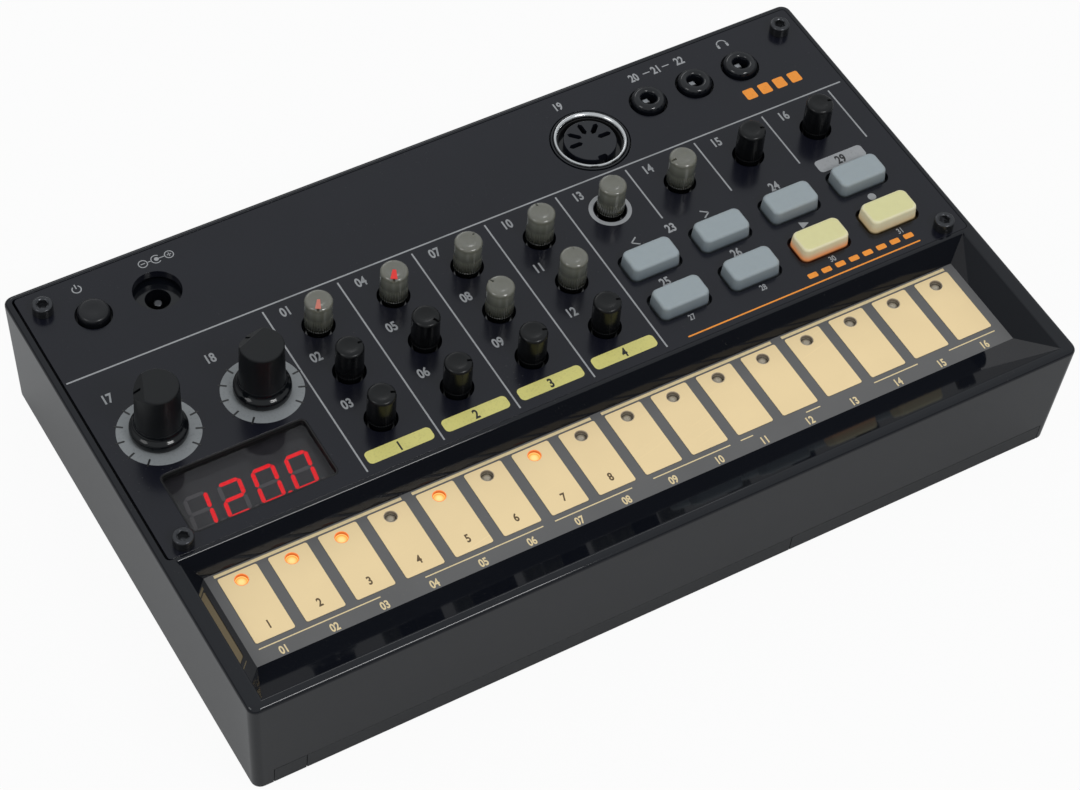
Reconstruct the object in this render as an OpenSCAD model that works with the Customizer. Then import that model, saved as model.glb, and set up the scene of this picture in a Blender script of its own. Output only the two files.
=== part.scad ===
// Drum machine: a table-top rhythm box with sixteen touch keys, sixteen small knobs, two dials,
// eight step buttons, a four-digit display, five sockets, a speaker and a battery bay.
// All sizes are in millimetres. X runs left to right, Y front to back, Z up from the table.
// The origin is on the table, under the middle of the case.

/* [Case] */
// Width of the case at its rim
case_w = 193; // [174:1:215]
// Depth of the case at its rim
case_d = 115; // [104:1:135]
// Height of the case above its feet
case_h = 30; // [29.5:0.5:40]
// How far each outer wall leans in from rim to base
draft = 1.3; // [0:0.1:2]
// Radius of the upright corners
corner_r = 2.6; // [2:0.2:5]
// Thickness of the side walls
wall = 2.2; // [1.8:0.1:2.6]
// Width of the rim around the control panel
rim_w = 2.2; // [2:0.1:3]
// Height of the bevel along the rim
bevel_h = 1.2; // [0.6:0.1:1.6]
// Width of the bevel along the rim
bevel_w = 1.5; // [0.8:0.1:1.7]
// Thickness of the bottom
floor_t = 2; // [1.8:0.1:3]
// Height of the strip along the foot of the front wall
strip_h = 4.85; // [4:0.05:6]
// Left end of the front strip, from the case side
strip_left = 5.25; // [4.5:0.05:7]
// Right end of the front strip, from the case side
strip_right = 3.6; // [3.5:0.05:7]

/* [Keyboard] */
// Depth of the keyboard well
well_depth = 5.4; // [4:0.2:6]
// Side of the well floor, from the case side
well_side = 7.4; // [6.5:0.1:8.5]
// Front edge of the well floor, from the case front
well_front = 12.1; // [11:0.1:14]
// Rim left in front of the well
well_front_rim = 1.9; // [1.8:0.1:3]
// Rim left beside the well
well_side_rim = 3.3; // [2.5:0.1:4]
// How far the back wall of the well slopes
well_back_run = 2.7; // [2:0.1:4]
// Bar between the well and the control panel
crossbar_w = 0.7; // [0.6:0.1:2]
// Number of touch keys
key_count = 16; // [12:1:16]
// Gap between touch keys
key_gap = 2.42; // [1.5:0.02:3.5]
// Gap between the end keys and the sides of the well floor
key_side = 2.15; // [1:0.05:3]
// Gap between the keys and the back of the well floor
key_back = 1.5; // [1:0.1:2.5]
// Printed margin in front of the keys
key_front = 4.8; // [3:0.1:6]
// Diameter of the lamp hole in a key
lamp_hole_d = 2.9; // [2.4:0.1:3.4]
// Centre of the lamp hole, from the back end of its key
lamp_inset = 2.2; // [2:0.1:4]
// Thickness of the keyboard plate
plate_t = 1.6; // [1.2:0.1:2]
// How far the plate reaches under the case
plate_lip = 1.4; // [1:0.1:1.6]
// Thickness of a touch key
pad_t = 0.15; // [0.1:0.05:0.3]

/* [Control panel] */
// Thickness of the control panel
panel_t = 2; // [1.6:0.1:2.4]
// Width of the ledge under the panel
ledge_w = 4; // [3:0.1:4.5]
// Width of the ledge under the front edge of the panel
ledge_front = 2; // [1.5:0.1:2.4]
// Thickness of the ledge under the panel
ledge_t = 2; // [1.6:0.1:2.4]
// Distance from the panel's front edge to the case back
panel_zone = 76.2; // [75:0.1:78]
// First column of small knobs, from the case side
col_left = 54.9; // [54.5:0.1:56]
// Last column, from the case side
col_right = 15.18; // [14.8:0.02:16]
// Distance between the rows of small knobs
row_pitch = 13.68; // [12.5:0.02:14]
// Front row of small knobs, from the panel's front edge
row_front = 12.15; // [11:0.05:13]

/* [Knobs and dials] */
// Diameter of a small knob
knob_d = 6; // [5.5:0.1:6.4]
// Height of a small knob above the panel
knob_h = 8.1; // [6:0.1:12]
// Diameter of a small knob's stem
stem_d = 4; // [3:0.5:4.5]
// Width of a small potentiometer
pot_w = 9.5; // [9:0.1:10.5]
// Height of a potentiometer
pot_h = 6.5; // [5:0.1:6.6]
// Diameter of a dial at its foot
dial_d = 9.6; // [9:0.1:11]
// Diameter of a dial at its top
dial_top_d = 9.2; // [8:0.1:9.6]
// Diameter of a dial's skirt
skirt_d = 11.9; // [11.4:0.1:14]
// Height of a dial's skirt
skirt_h = 3.5; // [2:0.1:5]
// Height of a dial above the panel
dial_h = 14.5; // [13:0.5:20]
// Diameter of a dial's shaft
shaft_d = 6; // [5:0.5:6.5]
// Width of a dial's potentiometer
dial_pot_w = 12; // [10:0.5:14]
// Left dial, from the case side
dial_left = 13.9; // [13.4:0.1:15]
// Distance between the dials
dial_pitch = 23.1; // [20:0.1:24]
// Dials, from the panel's front edge
dial_front = 29.6; // [29:0.1:32]

/* [Buttons] */
// Width of a button
button_w = 12.1; // [10:0.1:13]
// Depth of a button
button_l = 6.8; // [5:0.1:7.4]
// Height of a button above the panel
button_h = 3; // [2:0.1:4]
// Corner radius of a button
button_r = 1.5; // [0.8:0.1:2]
// Front row of buttons, from the panel's front edge
button_front = 11.05; // [10:0.05:12]
// Distance between the rows of buttons
button_pitch = 11.9; // [11.5:0.1:12.5]
// Travel of a button
travel = 0.8; // [0.4:0.1:1]
// Width of a button's flange beyond its cap
flange_w = 1.2; // [1:0.1:1.5]
// Thickness of a button's flange
flange_t = 1.2; // [0.8:0.1:1.4]
// Width of a switch
switch_w = 6; // [5:0.5:7]
// Height of a switch
switch_h = 3.5; // [3:0.1:4]
// Diameter of the plunger under a button
plunger_d = 3; // [2:0.1:3.4]
// Diameter of the power button
power_d = 6.8; // [5:0.1:8]
// Height of the power button above the panel
power_h = 1.6; // [1:0.1:3]
// Power button, from the case side
power_left = 15.1; // [13:0.1:17]

/* [Display] */
// Width of the display opening
display_w = 32.4; // [31:0.1:36]
// Depth of the display opening
display_l = 15.8; // [14.6:0.1:17]
// Left edge of the display opening, from the case side
display_left = 8.8; // [8.8:0.1:12]
// Front edge of the display opening, from the panel's front edge
display_front = 3.7; // [3.6:0.1:5]
// Corner radius of the display opening
display_corner = 1.3; // [0.5:0.1:2]
// Thickness of the window
window_t = 1.2; // [0.8:0.1:1.5]
// How far the window reaches under the panel
window_lip = 0.8; // [0.5:0.1:0.9]
// Width of the four-digit module
module_w = 30.1; // [28:0.1:31]
// Depth of the four-digit module
module_l = 14; // [13:0.1:14.5]

/* [Sockets] */
// Row of small sockets and the power button, from the case back
socket_back = 13.2; // [12.8:0.1:15]
// Last small socket, from the case side
mini_right = 20.1; // [19:0.1:22]
// Distance between the small sockets
mini_pitch = 12; // [11.6:0.1:13]
// Bore of a small socket
mini_bore_d = 3.6; // [3.5:0.1:3.7]
// Diameter of a small socket's neck
mini_neck_d = 7.6; // [6.5:0.1:8]
// Height of a small socket above the panel
mini_proud = 1.56; // [0.5:0.02:3]
// Rounding of a 3.5 mm socket's neck
mini_edge_r = 0.7; // [0.3:0.1:1]
// Chamfer of a 3.5 mm socket's bore
mini_chamfer = 0.4; // [0.2:0.1:0.6]
// Width of a small socket's body
mini_body_w = 11; // [9:0.1:11.2]
// Round socket, left of the first small socket
din_step = 17.4; // [17:0.1:20]
// Round socket, from the case back
din_back = 17.4; // [17:0.1:19]
// Outer diameter of the round socket's metal ring
din_ring_d = 16.2; // [15:0.1:16.6]
// Thickness of the metal ring
din_ring_t = 0.75; // [0.5:0.05:1]
// Diameter of the round socket's contact block
din_insert_d = 11.5; // [10.5:0.1:12]
// Width of the round socket's body
din_body_w = 20; // [19:0.5:21]
// Power socket, from the case side
dc_left = 29.5; // [27:0.1:32]
// Hole above the power socket
dc_hole_d = 10.4; // [8:0.1:11]
// Bore of the power socket
dc_bore_d = 5.5; // [5:0.1:6]
// Pin of the power socket
dc_pin_d = 2; // [1.6:0.1:2.5]
// Drop from the panel to the face of the power socket
dc_drop = 3.1; // [2.6:0.1:5]
// Width of the power socket's body
dc_body_w = 12; // [9:0.5:13]

/* [Boards and speaker] */
// Thickness of the circuit boards
board_t = 1.6; // [1.2:0.2:2]
// Gap between the main board and the case back
board_back = 7.5; // [6.5:0.1:8.5]
// Diameter of the speaker
speaker_d = 36; // [28:1:40]
// Height of the speaker
speaker_h = 12; // [9:0.5:13]
// Speaker, from the case side
speaker_right = 35.6; // [34:0.1:36]
// Width of a slot in the speaker grille
slot_w = 1.6; // [1:0.1:2]

/* [Batteries] */
// Diameter of a cell
cell_d = 14.2; // [13.8:0.1:14.5]
// Length of a cell with its button
cell_len = 50.5; // [49:0.5:51]
// Length of a contact spring under load
spring_len = 7.4; // [5:0.2:9]
// Thickness of a contact plate
contact_t = 0.4; // [0.3:0.1:0.6]
// Inner left side of the battery bay, from the case side
bay_left = 14.5; // [13.8:0.1:16]
// Thickness of the bay walls
bay_wall = 1.5; // [1.2:0.1:1.8]

/* [Screws and feet] */
// Diameter of the screws
screw_d = 2.5; // [2:0.1:2.8]
// Diameter of the screw heads
head_d = 4.4; // [4:0.1:4.6]
// Height of the panel screws' heads
head_h = 2.4; // [1.5:0.1:3]
// Panel screws, from the case side
panel_screw_side = 6.25; // [5.8:0.05:6.6]
// Back panel screws, from the case back
panel_screw_back = 7.7; // [6.5:0.1:9]
// Front panel screws, from the panel's front edge
panel_screw_front = 2.7; // [2.5:0.1:2.9]
// Diameter of a foot
foot_d = 7.5; // [6:0.5:7.5]
// Height of a foot below the case
foot_h = 1.5; // [1:0.1:3]
// Depth of the recess that holds a foot
foot_recess = 0.5; // [0.3:0.1:0.7]

/* [Clearances] */
// Radial clearance of a shaft, stem or screw in its bore
fit = 0.05; // [0.02:0.01:0.08]
// Gap around the panel and the battery cover
slide_gap = 0.15; // [0.1:0.05:0.25]
// Gap between the bottom and the case walls
seat_gap = 0.2; // [0.15:0.05:0.3]
// Gap around a knob, dial bush, socket or button in its hole
hole_gap = 0.5; // [0.4:0.05:0.6]

/* [Hidden] */
$fn = 48;
eps = 0.01;

// Knob angles at rest, counter-clockwise from the back of the case; one list for each column
knob_angles = [
  [150, -93, -110], [150, -150, -108], [-60, 30, -106], [0, -20, -105],
  [-30], [90], [-105], [-99]
];
dial_angles = [70, 22];
smoky_knobs = [[1, 1], [2, 1], [3, 1], [3, 2], [4, 1], [4, 2], [5, 1], [6, 1]];
first_button_col = 5;
button_rows = 2;
lit_buttons = [[3, 2], [4, 2]];

knob_nodes = [for (c = [1:len(knob_angles)]) for (r = [1:len(knob_angles[c - 1])]) str("knob_c", c, "_r", r)];
button_nodes = [for (c = [1:4]) for (r = [1:button_rows]) str("button_c", c, "_r", r)];

// Case edges and levels
x_side = case_w / 2;
y_front = -case_d / 2;
y_back = case_d / 2;
base_z = foot_h;
top_z = foot_h + case_h;
rim_z = top_z - bevel_h;
panel_z = top_z - panel_t;
deck_z = panel_z - ledge_t;
floor_z = base_z + floor_t;
inner_x = x_side - draft - wall;
inner_y = case_d / 2 - draft - wall;
floor_x = inner_x - seat_gap;
floor_y = inner_y - seat_gap;

// Keyboard well
well_wall = 2;
plate_z = top_z - well_depth;
well_x = x_side - well_side;
well_y0 = y_front + well_front;
well_y1 = y_back - panel_zone - crossbar_w - well_back_run;
well_top_x = x_side - well_side_rim;
well_top_y0 = y_front + well_front_rim;
well_top_y1 = well_y1 + well_back_run;
key_w = (2 * (well_x - key_side) + key_gap) / key_count - key_gap;
key_l = well_y1 - well_y0 - key_back - key_front;
key_y = well_y1 - key_back - key_l / 2;
lamp_y = well_y1 - key_back - lamp_inset;
lens_d = lamp_hole_d - 0.3;
lens_h = 1.1;

// Control panel
panel_y0 = y_back - panel_zone;
panel_y1 = y_back - rim_w;
pocket_x = x_side - rim_w;
columns = 8;
col_pitch = (case_w - col_left - col_right) / (columns - 1);
function col_x(c) = -x_side + col_left + (c - 1) * col_pitch;
function row_y(r) = panel_y0 + row_front + (3 - r) * row_pitch;
function button_x(c) = col_x(c + first_button_col - 1);
function button_y(r) = panel_y0 + button_front + (button_rows - r) * button_pitch;
socket_y = y_back - socket_back;
panel_screw_x = x_side - panel_screw_side;
panel_screw_ys = [y_back - panel_screw_back, panel_y0 + panel_screw_front];
panel_screw_len = 6;
panel_boss_d = screw_d + 2.1;

// Dials and display
dial_x = [-x_side + dial_left, -x_side + dial_left + dial_pitch];
dial_y = panel_y0 + dial_front;
dial_lift = 0.4;
bush_d = shaft_d + 1.2;
facet_angle = 40;
facet_reach = 2.6;
window_x0 = -x_side + display_left;
window_y0 = panel_y0 + display_front;
module_x0 = window_x0 + 0.45;
module_y0 = window_y0 - 0.8;

// Sockets
mini_x = [for (i = [0:2]) x_side - mini_right - (2 - i) * mini_pitch];
din_x = mini_x[0] - din_step;
din_y = y_back - din_back;
din_collar_d = din_ring_d + 1.3;
din_wall_t = 2;
dc_x = -x_side + dc_left;
power_x = -x_side + power_left;
body_gap = 0.2;

// Battery bay, from the bottom up
cell_pitch = cell_d + 0.7;
bay_x0 = -x_side + bay_left;
bay_x1 = bay_x0 + 2 * cell_len + spring_len + 2 * contact_t;
bay_y0 = -floor_y + 0.3 + bay_wall;
bay_y1 = bay_y0 + 3 * cell_pitch;
cell_z = floor_z + 0.3 + cell_d / 2;
roof_z = cell_z + cell_d / 2 + 0.2;
cover_side = 2.05;
cover_x0 = bay_x0 - cover_side;
cover_x1 = bay_x1 + cover_side;
cover_y1 = bay_y1 + bay_wall / 2;
tongue_w = 1.5;
grip_count = 6;
grip_w = 30;
grip_pitch = 2.4;
grip_inset = 5;
grip_depth = 0.4;

// Boards
board_z = roof_z + 1.4;
board_top = board_z + board_t;
key_board_z = plate_z - plate_t - board_t;
post_d = head_d + 2.6;
post_gap = 0.4;
post_top = floor_z + 5.5;
boss_d = screw_d + 3.1;
case_screw_x = inner_x - post_gap - post_d / 2;
case_screw_y = inner_y - post_gap - post_d / 2;
rear_screw_inset = 24.5;
mid_screw_x = -20;
case_screws_at = [
  [-case_screw_x, -case_screw_y], [case_screw_x, -case_screw_y], [mid_screw_x, case_screw_y],
  [-case_screw_x, y_back - rear_screw_inset], [case_screw_x, y_back - rear_screw_inset]
];
case_head_h = 1.6;
case_head_z = base_z + 1.4;
case_screw_len = 11;
board_x = case_screw_x - post_d / 2 - 0.6;
board_y0 = well_y1 - 1.9;
board_y1 = y_back - board_back;
board_screws_at = [for (c = [1, 4, 8]) [col_x(c), row_y(1) + 12.7]];
rest_d = 5;
board_rests_at = [
  [max(col_x(6) - 6, bay_x1 + bay_wall + rest_d), panel_y0 + 6],
  [board_x - rest_d / 2, panel_y0 + 9], [col_x(3), board_y1 - 4]
];
board_screw_len = 7;
header_w = 40;
header_y0 = board_y0 + 0.2;
header_y1 = well_y1 + plate_lip - 0.2;

// Speaker and key board rests
speaker_x = max((bay_x1 + bay_wall + inner_x) / 2, x_side - speaker_right);
speaker_y = (well_y0 + well_y1) / 2 + 5;
key_rest_d = 4;
key_rest_y = well_y0 + 5;
roof_rests_x = [bay_x0 + 8, (bay_x0 + bay_x1) / 2, bay_x1 - 8];
floor_rests_x = [bay_x1 + bay_wall + 4, inner_x - 6];

// Feet
foot_x = floor_x - 0.4 - foot_d / 2;
foot_ys = [-floor_y + 11.8, floor_y - 9.8];

// How far an outer wall leans in at height z
function lean(z) = draft * (rim_z - z) / (rim_z - base_z);

// Rounded rectangle about the origin, made of squares and true circles
module rounded(w, l, r) {
  square([w - 2 * r, l], center = true);
  square([w, l - 2 * r], center = true);
  for (sx = [-1, 1], sy = [-1, 1])
    translate([sx * (w / 2 - r), sy * (l / 2 - r)]) circle(r);
}

// Flat slab with rounded corners, its underside at height z
module slab(z, w, l, r, t = eps) {
  translate([0, 0, z]) linear_extrude(t) rounded(w, l, r);
}

// Block between two corners
module block(a, b) {
  translate(a) cube(b - a);
}

// Upright cylinder between two heights
module rod(x, y, z0, z1, d) {
  translate([x, y, z0]) cylinder(h = z1 - z0, d = d);
}

// Turned cap on the Z axis, with a rounded top edge
module cap(d, h, r) {
  rotate_extrude() {
    square([d / 2, h - r]);
    square([d / 2 - r, h]);
    translate([d / 2 - r, h - r]) circle(r);
  }
}

// Outside of the whole case: leaning walls and a bevelled rim
module case_form() {
  hull($fn = 32) {
    slab(base_z, case_w - 2 * draft, case_d - 2 * draft, corner_r, $fn = 32);
    slab(rim_z - eps, case_w, case_d, corner_r, $fn = 32);
    slab(rim_z + 0.65 * bevel_h, case_w - 0.7 * bevel_w, case_d - 0.7 * bevel_w, corner_r, $fn = 32);
    slab(top_z - eps, case_w - 2 * bevel_w, case_d - 2 * bevel_w, corner_r - 0.5, $fn = 32);
  }
}

// Inside of the case, up to the deck
module case_hollow() {
  hull() {
    slab(base_z - 1, 2 * inner_x, 2 * inner_y, 0.6, $fn = 16);
    inset = 2 * wall + 2 * lean(deck_z);
    slab(deck_z - eps, case_w - inset, case_d - inset, 0.6, $fn = 16);
  }
}

// Sloping keyboard well, grown outwards by a wall
module well_form(grow = 0, sink = 0) {
  hull() {
    block([-well_x - grow, well_y0 - grow, plate_z - sink], [well_x + grow, well_y1 + grow, plate_z + eps]);
    block(
      [-well_top_x - grow, well_top_y0 - grow, top_z],
      [well_top_x + grow, well_top_y1 + grow, top_z + 1]
    );
  }
}

// Upper shell: walls, rim, keyboard well and screw bosses
module top_case() {
  color("#101114")
  difference() {
    union() {
      difference() {
        case_form();
        difference() {
          case_hollow();
          well_form(grow = well_wall);
        }
      }
      for (p = case_screws_at) rod(p[0], p[1], post_top, panel_z, boss_d);
      for (sx = [-1, 1], y = panel_screw_ys)
        rod(sx * panel_screw_x, y, panel_z - panel_screw_len, panel_z, panel_boss_d);
    }
    well_form(sink = 0.5);
    translate([0, (panel_y0 + panel_y1) / 2, 0])
      slab(panel_z, 2 * pocket_x, panel_y1 - panel_y0, 1, panel_t + 1);
    block(
      [-pocket_x + ledge_w, panel_y0 + ledge_front, deck_z - 1],
      [pocket_x - ledge_w, panel_y1 - ledge_w, panel_z + 1]
    );
    block(
      [-x_side + strip_left, y_front - 1, base_z - 1],
      [x_side - strip_right, -inner_y + 1, base_z + strip_h]
    );
    for (p = case_screws_at) rod(p[0], p[1], post_top - 1, post_top + case_screw_len - 2, screw_d);
    for (sx = [-1, 1], y = panel_screw_ys)
      rod(sx * panel_screw_x, y, panel_z - panel_screw_len + 1, panel_z + 1, screw_d);
  }
}

// Flat panel with a hole for every control and socket
module control_panel() {
  gap = 2 * slide_gap;
  color("#2f3134")
  difference() {
    translate([0, (panel_y0 + panel_y1) / 2, 0])
      slab(panel_z, 2 * pocket_x - gap, panel_y1 - panel_y0 - gap, 0.9, panel_t);
    translate([0, 0, panel_z - 1]) linear_extrude(panel_t + 2) {
      for (c = [1:columns], r = [1:len(knob_angles[c - 1])])
        translate([col_x(c), row_y(r)]) circle(d = knob_d + 2 * hole_gap);
      for (x = dial_x) translate([x, dial_y]) circle(d = bush_d + 2 * hole_gap);
      for (c = [1:4], r = [1:button_rows])
        translate([button_x(c), button_y(r)])
          rounded(button_w + 2 * hole_gap, button_l + 2 * hole_gap, button_r);
      translate([power_x, socket_y]) circle(d = power_d + 2 * hole_gap);
      translate([dc_x, socket_y]) circle(d = dc_hole_d);
      for (x = mini_x) translate([x, socket_y]) circle(d = mini_neck_d + 2 * hole_gap);
      translate([din_x, din_y]) circle(d = din_collar_d + 2 * body_gap);
      translate([window_x0 + display_w / 2, window_y0 + display_l / 2])
        rounded(display_w, display_l, display_corner);
      for (sx = [-1, 1], y = panel_screw_ys)
        translate([sx * panel_screw_x, y]) circle(d = screw_d + 0.3);
    }
  }
}

// Bottom: floor, battery bay, posts, speaker ring and the ends of the front strip
module bottom_case() {
  color("#141518")
  difference() {
    union() {
      slab(base_z, 2 * floor_x, 2 * floor_y, 1, floor_t);
      difference() {
        block(
          [bay_x0 - bay_wall, bay_y0 - bay_wall, floor_z - eps],
          [bay_x1 + bay_wall, bay_y1 + bay_wall, board_z]
        );
        block([bay_x0, bay_y0, base_z], [bay_x1, bay_y1, roof_z]);
      }
      for (p = case_screws_at) rod(p[0], p[1], floor_z - eps, post_top, post_d);
      for (p = board_screws_at) rod(p[0], p[1], floor_z - eps, board_z, rest_d);
      for (p = board_rests_at) rod(p[0], p[1], floor_z - eps, board_z, rest_d);
      for (x = roof_rests_x) rod(x, key_rest_y, board_z - eps, key_board_z, key_rest_d);
      for (x = floor_rests_x) rod(x, key_rest_y, floor_z - eps, key_board_z, key_rest_d);
      speaker_ring();
      intersection() {
        case_form();
        union() {
          strip_block(-x_side + strip_left + slide_gap, cover_x0);
          strip_block(cover_x1, x_side - strip_right - slide_gap);
        }
      }
    }
    cover_opening();
    speaker_slots();
    for (p = case_screws_at) {
      rod(p[0], p[1], base_z - 1, case_head_z + case_head_h, head_d + 0.6);
      rod(p[0], p[1], base_z, post_top + 1, screw_d + 0.4);
    }
    for (p = board_screws_at)
      rod(p[0], p[1], board_z - board_screw_len, board_z + 1, screw_d);
    for (sx = [-1, 1], y = foot_ys)
      rod(sx * foot_x, y, base_z - 1, base_z + foot_recess, foot_d + 0.2);
  }
}

// One end of the front strip, before the leaning front wall trims it
module strip_block(x0, x1) {
  block([x0, y_front - 1, base_z], [x1, -floor_y + 1, base_z + strip_h - slide_gap]);
}

// Opening for the battery cover, with a groove along each side for the cover's tongues
module cover_opening() {
  block([cover_x0 + tongue_w, y_front - 1, base_z - 1], [cover_x1 - tongue_w, cover_y1, floor_z]);
  block([cover_x0, y_front - 1, base_z + floor_t / 2], [cover_x1, cover_y1, floor_z]);
  block([cover_x0, y_front - 1, base_z - 1], [cover_x1, -floor_y, base_z + strip_h + 1]);
}

// Ring that centres the speaker
module speaker_ring() {
  difference() {
    rod(speaker_x, speaker_y, floor_z - eps, floor_z + 3, speaker_d + 3);
    rod(speaker_x, speaker_y, floor_z - 1, floor_z + 4, speaker_d + 0.6);
  }
}

// Round-ended grille slots under the speaker
module speaker_slots() {
  reach = speaker_d / 2 - 4;
  step = 2.6 * slot_w;
  rows = floor(reach / step);
  translate([speaker_x, speaker_y, base_z - 1]) linear_extrude(floor_t + 2)
    for (i = [-rows:rows]) {
      half = sqrt(reach * reach - i * i * step * step) - slot_w / 2;
      translate([0, i * step]) square([2 * half, slot_w], center = true);
      for (s = [-1, 1]) translate([s * half, i * step]) circle(d = slot_w);
    }
}

// Sliding battery cover with its lip in the front strip
module battery_cover() {
  plate_x0 = cover_x0 + tongue_w + slide_gap;
  plate_x1 = cover_x1 - tongue_w - slide_gap;
  tongue_z0 = base_z + floor_t / 2 + 0.1;
  y1 = cover_y1 - slide_gap;
  middle = (plate_x0 + plate_x1) / 2;
  color("#141518")
  difference() {
    union() {
      block([plate_x0, -floor_y, base_z], [plate_x1, y1, floor_z - 0.1]);
      block([cover_x0 + slide_gap, -floor_y, tongue_z0], [cover_x1 - slide_gap, y1, floor_z - 0.1]);
      intersection() {
        case_form();
        block(
          [cover_x0 + slide_gap, y_front - 1, base_z],
          [cover_x1 - slide_gap, -floor_y - slide_gap, base_z + strip_h - slide_gap]
        );
      }
      block([plate_x0, -floor_y - slide_gap - eps, base_z], [plate_x1, -floor_y + eps, floor_z - 0.1]);
    }
    for (i = [0:grip_count - 1])
      block(
        [middle - grip_w / 2, -floor_y + grip_inset + grip_pitch * i, base_z - 1],
        [middle + grip_w / 2, -floor_y + grip_inset + grip_pitch * (i + 0.5), base_z + grip_depth]
      );
    translate([middle, -floor_y + grip_inset + grip_pitch * grip_count + 2, base_z - 1])
      linear_extrude(1 + grip_depth) polygon([[-4, 5], [4, 5], [0, 0]]);
  }
}

// Keyboard plate, seen through the well
module keyboard_plate() {
  color("#5a5b60")
  difference() {
    block(
      [-well_x - plate_lip, well_y0 - plate_lip, plate_z - plate_t],
      [well_x + plate_lip, well_y1 + plate_lip, plate_z]
    );
    for (i = [0:key_count - 1])
      rod(key_x(i), lamp_y, plate_z - plate_t - 1, plate_z + 1, lamp_hole_d);
  }
}

// Centre of touch key i, from the left
function key_x(i) = (i - (key_count - 1) / 2) * (key_w + key_gap);

// Touch keys on the plate
module touch_pads() {
  color("#ebd19a")
  for (i = [0:key_count - 1])
    difference() {
      translate([key_x(i), key_y, 0]) slab(plate_z, key_w, key_l, 0.4, pad_t);
      rod(key_x(i), lamp_y, plate_z - 1, plate_z + 1, lamp_hole_d);
    }
}

// Lamp lens under each touch key
module key_lenses() {
  color("#ffe36e")
  for (i = [0:key_count - 1])
    translate([key_x(i), lamp_y, plate_z - plate_t]) cap(lens_d, lens_h, 0.5);
}

// Tinted window under the display opening
module display_window() {
  color("#3b1015")
  difference() {
    block(
      [window_x0 - window_lip, window_y0 - window_lip, panel_z - window_t],
      [window_x0 + display_w + window_lip, window_y0 + display_l + window_lip, panel_z]
    );
    for (sx = [-1, 1])
      rod(sx * panel_screw_x, panel_screw_ys[1], panel_z - 3, panel_z + 1, panel_boss_d + 0.6);
  }
}

// Four-digit module on the main board
module display_module() {
  color("#ff1030")
  block(
    [module_x0, module_y0, board_top],
    [module_x0 + module_w, module_y0 + module_l, panel_z - window_t]
  );
}

// Main circuit board
module main_board() {
  color("#1e5c38")
  difference() {
    block([-board_x, board_y0, board_z], [board_x, board_y1, board_top]);
    rod(mid_screw_x, case_screw_y, board_z - 1, board_top + 1, boss_d + 1.4);
    for (p = board_screws_at) rod(p[0], p[1], board_z - 1, board_top + 1, screw_d + 0.3);
    for (x = mini_x) rod(x, socket_y, board_z - 1, board_top + 1, mini_bore_d + 0.8);
  }
}

// Circuit board under the keyboard plate
module key_board() {
  color("#1e5c38")
  block(
    [-well_x - plate_lip + 0.5, well_y0 - plate_lip + 0.5, key_board_z],
    [well_x + plate_lip - 0.5, well_y1 + plate_lip, plate_z - plate_t]
  );
}

// Header strip that joins the two boards
module board_header() {
  color("#202124")
  block([-header_w / 2, header_y0, board_top], [header_w / 2, header_y1, key_board_z]);
}

// Speaker basket and magnet, facing the grille
module speaker() {
  r = speaker_d / 2;
  color("#8b8f94")
  translate([speaker_x, speaker_y, floor_z]) rotate_extrude()
    polygon([
      [r - 2.2, 0], [r, 0], [r, 1.2], [r - 2, 2.2], [r * 0.62, speaker_h * 0.5],
      [r * 0.52, speaker_h * 0.5], [r * 0.52, speaker_h], [0, speaker_h],
      [0, speaker_h * 0.5 + 1], [r * 0.3, speaker_h * 0.5 + 1], [r * 0.3, speaker_h * 0.42],
      [r * 0.6, speaker_h * 0.42], [r - 3, 1.4], [r - 2.2, 1.2]
    ]);
}

// Paper cone of the speaker with its dust cap
module speaker_cone() {
  r = speaker_d / 2 - 2.8;
  color("#2a2a2c")
  translate([speaker_x, speaker_y, floor_z]) rotate_extrude()
    polygon([
      [r - 0.8, 0.6], [r, 0.6], [r, 1], [r * 0.4, speaker_h * 0.36],
      [r * 0.3, speaker_h * 0.42 + 0.6], [0, speaker_h * 0.42 + 0.6],
      [0, speaker_h * 0.36], [r * 0.3, speaker_h * 0.3]
    ]);
}

// Contact plates at both ends of the bay, with a spring on one end of each row
module battery_contacts() {
  plate = 9;
  color("#c9ccd0")
  for (row = [0:2]) {
    y = bay_y0 + (row + 0.5) * cell_pitch;
    spring_left = row % 2 == 0;
    for (x = [bay_x0, bay_x1 - contact_t])
      translate([x, y - plate / 2, cell_z - plate / 2]) cube([contact_t, plate, plate]);
    x0 = spring_left ? bay_x0 + contact_t : bay_x1 - contact_t;
    translate([x0, y, cell_z]) rotate([0, spring_left ? 90 : -90, 0]) contact_spring();
  }
}

// Cone-shaped coil spring, its turns closed up under load
module contact_spring() {
  turns = 4;
  wire = spring_len / turns;
  rotate_extrude()
    for (i = [0:turns - 1]) {
      r = 4 - 0.5 * i;
      translate([r - wire * 0.55, i * wire]) square([wire * 0.55, wire]);
      if (i > 0) translate([r - wire * 0.55, i * wire - 0.2]) square([0.5 + wire * 0.4, 0.4]);
    }
}

// Six cells, two end to end in each of three rows, a hair apart
module aa_cells() {
  nub = 1.3;
  cell_gap = 0.1;
  color("#3f6f9e")
  for (row = [0:2], k = [0:1]) {
    y = bay_y0 + (row + 0.5) * cell_pitch;
    spring_left = row % 2 == 0;
    start = spring_left ? bay_x0 + contact_t + spring_len : bay_x1 - contact_t - spring_len;
    side = spring_left ? 1 : -1;
    translate([start + side * k * cell_len, y, cell_z]) rotate([0, side * 90, 0]) {
      cap(cell_d, cell_len - nub, 0.6);
      cylinder(h = cell_len - cell_gap, d = 5.5);
    }
  }
}

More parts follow.
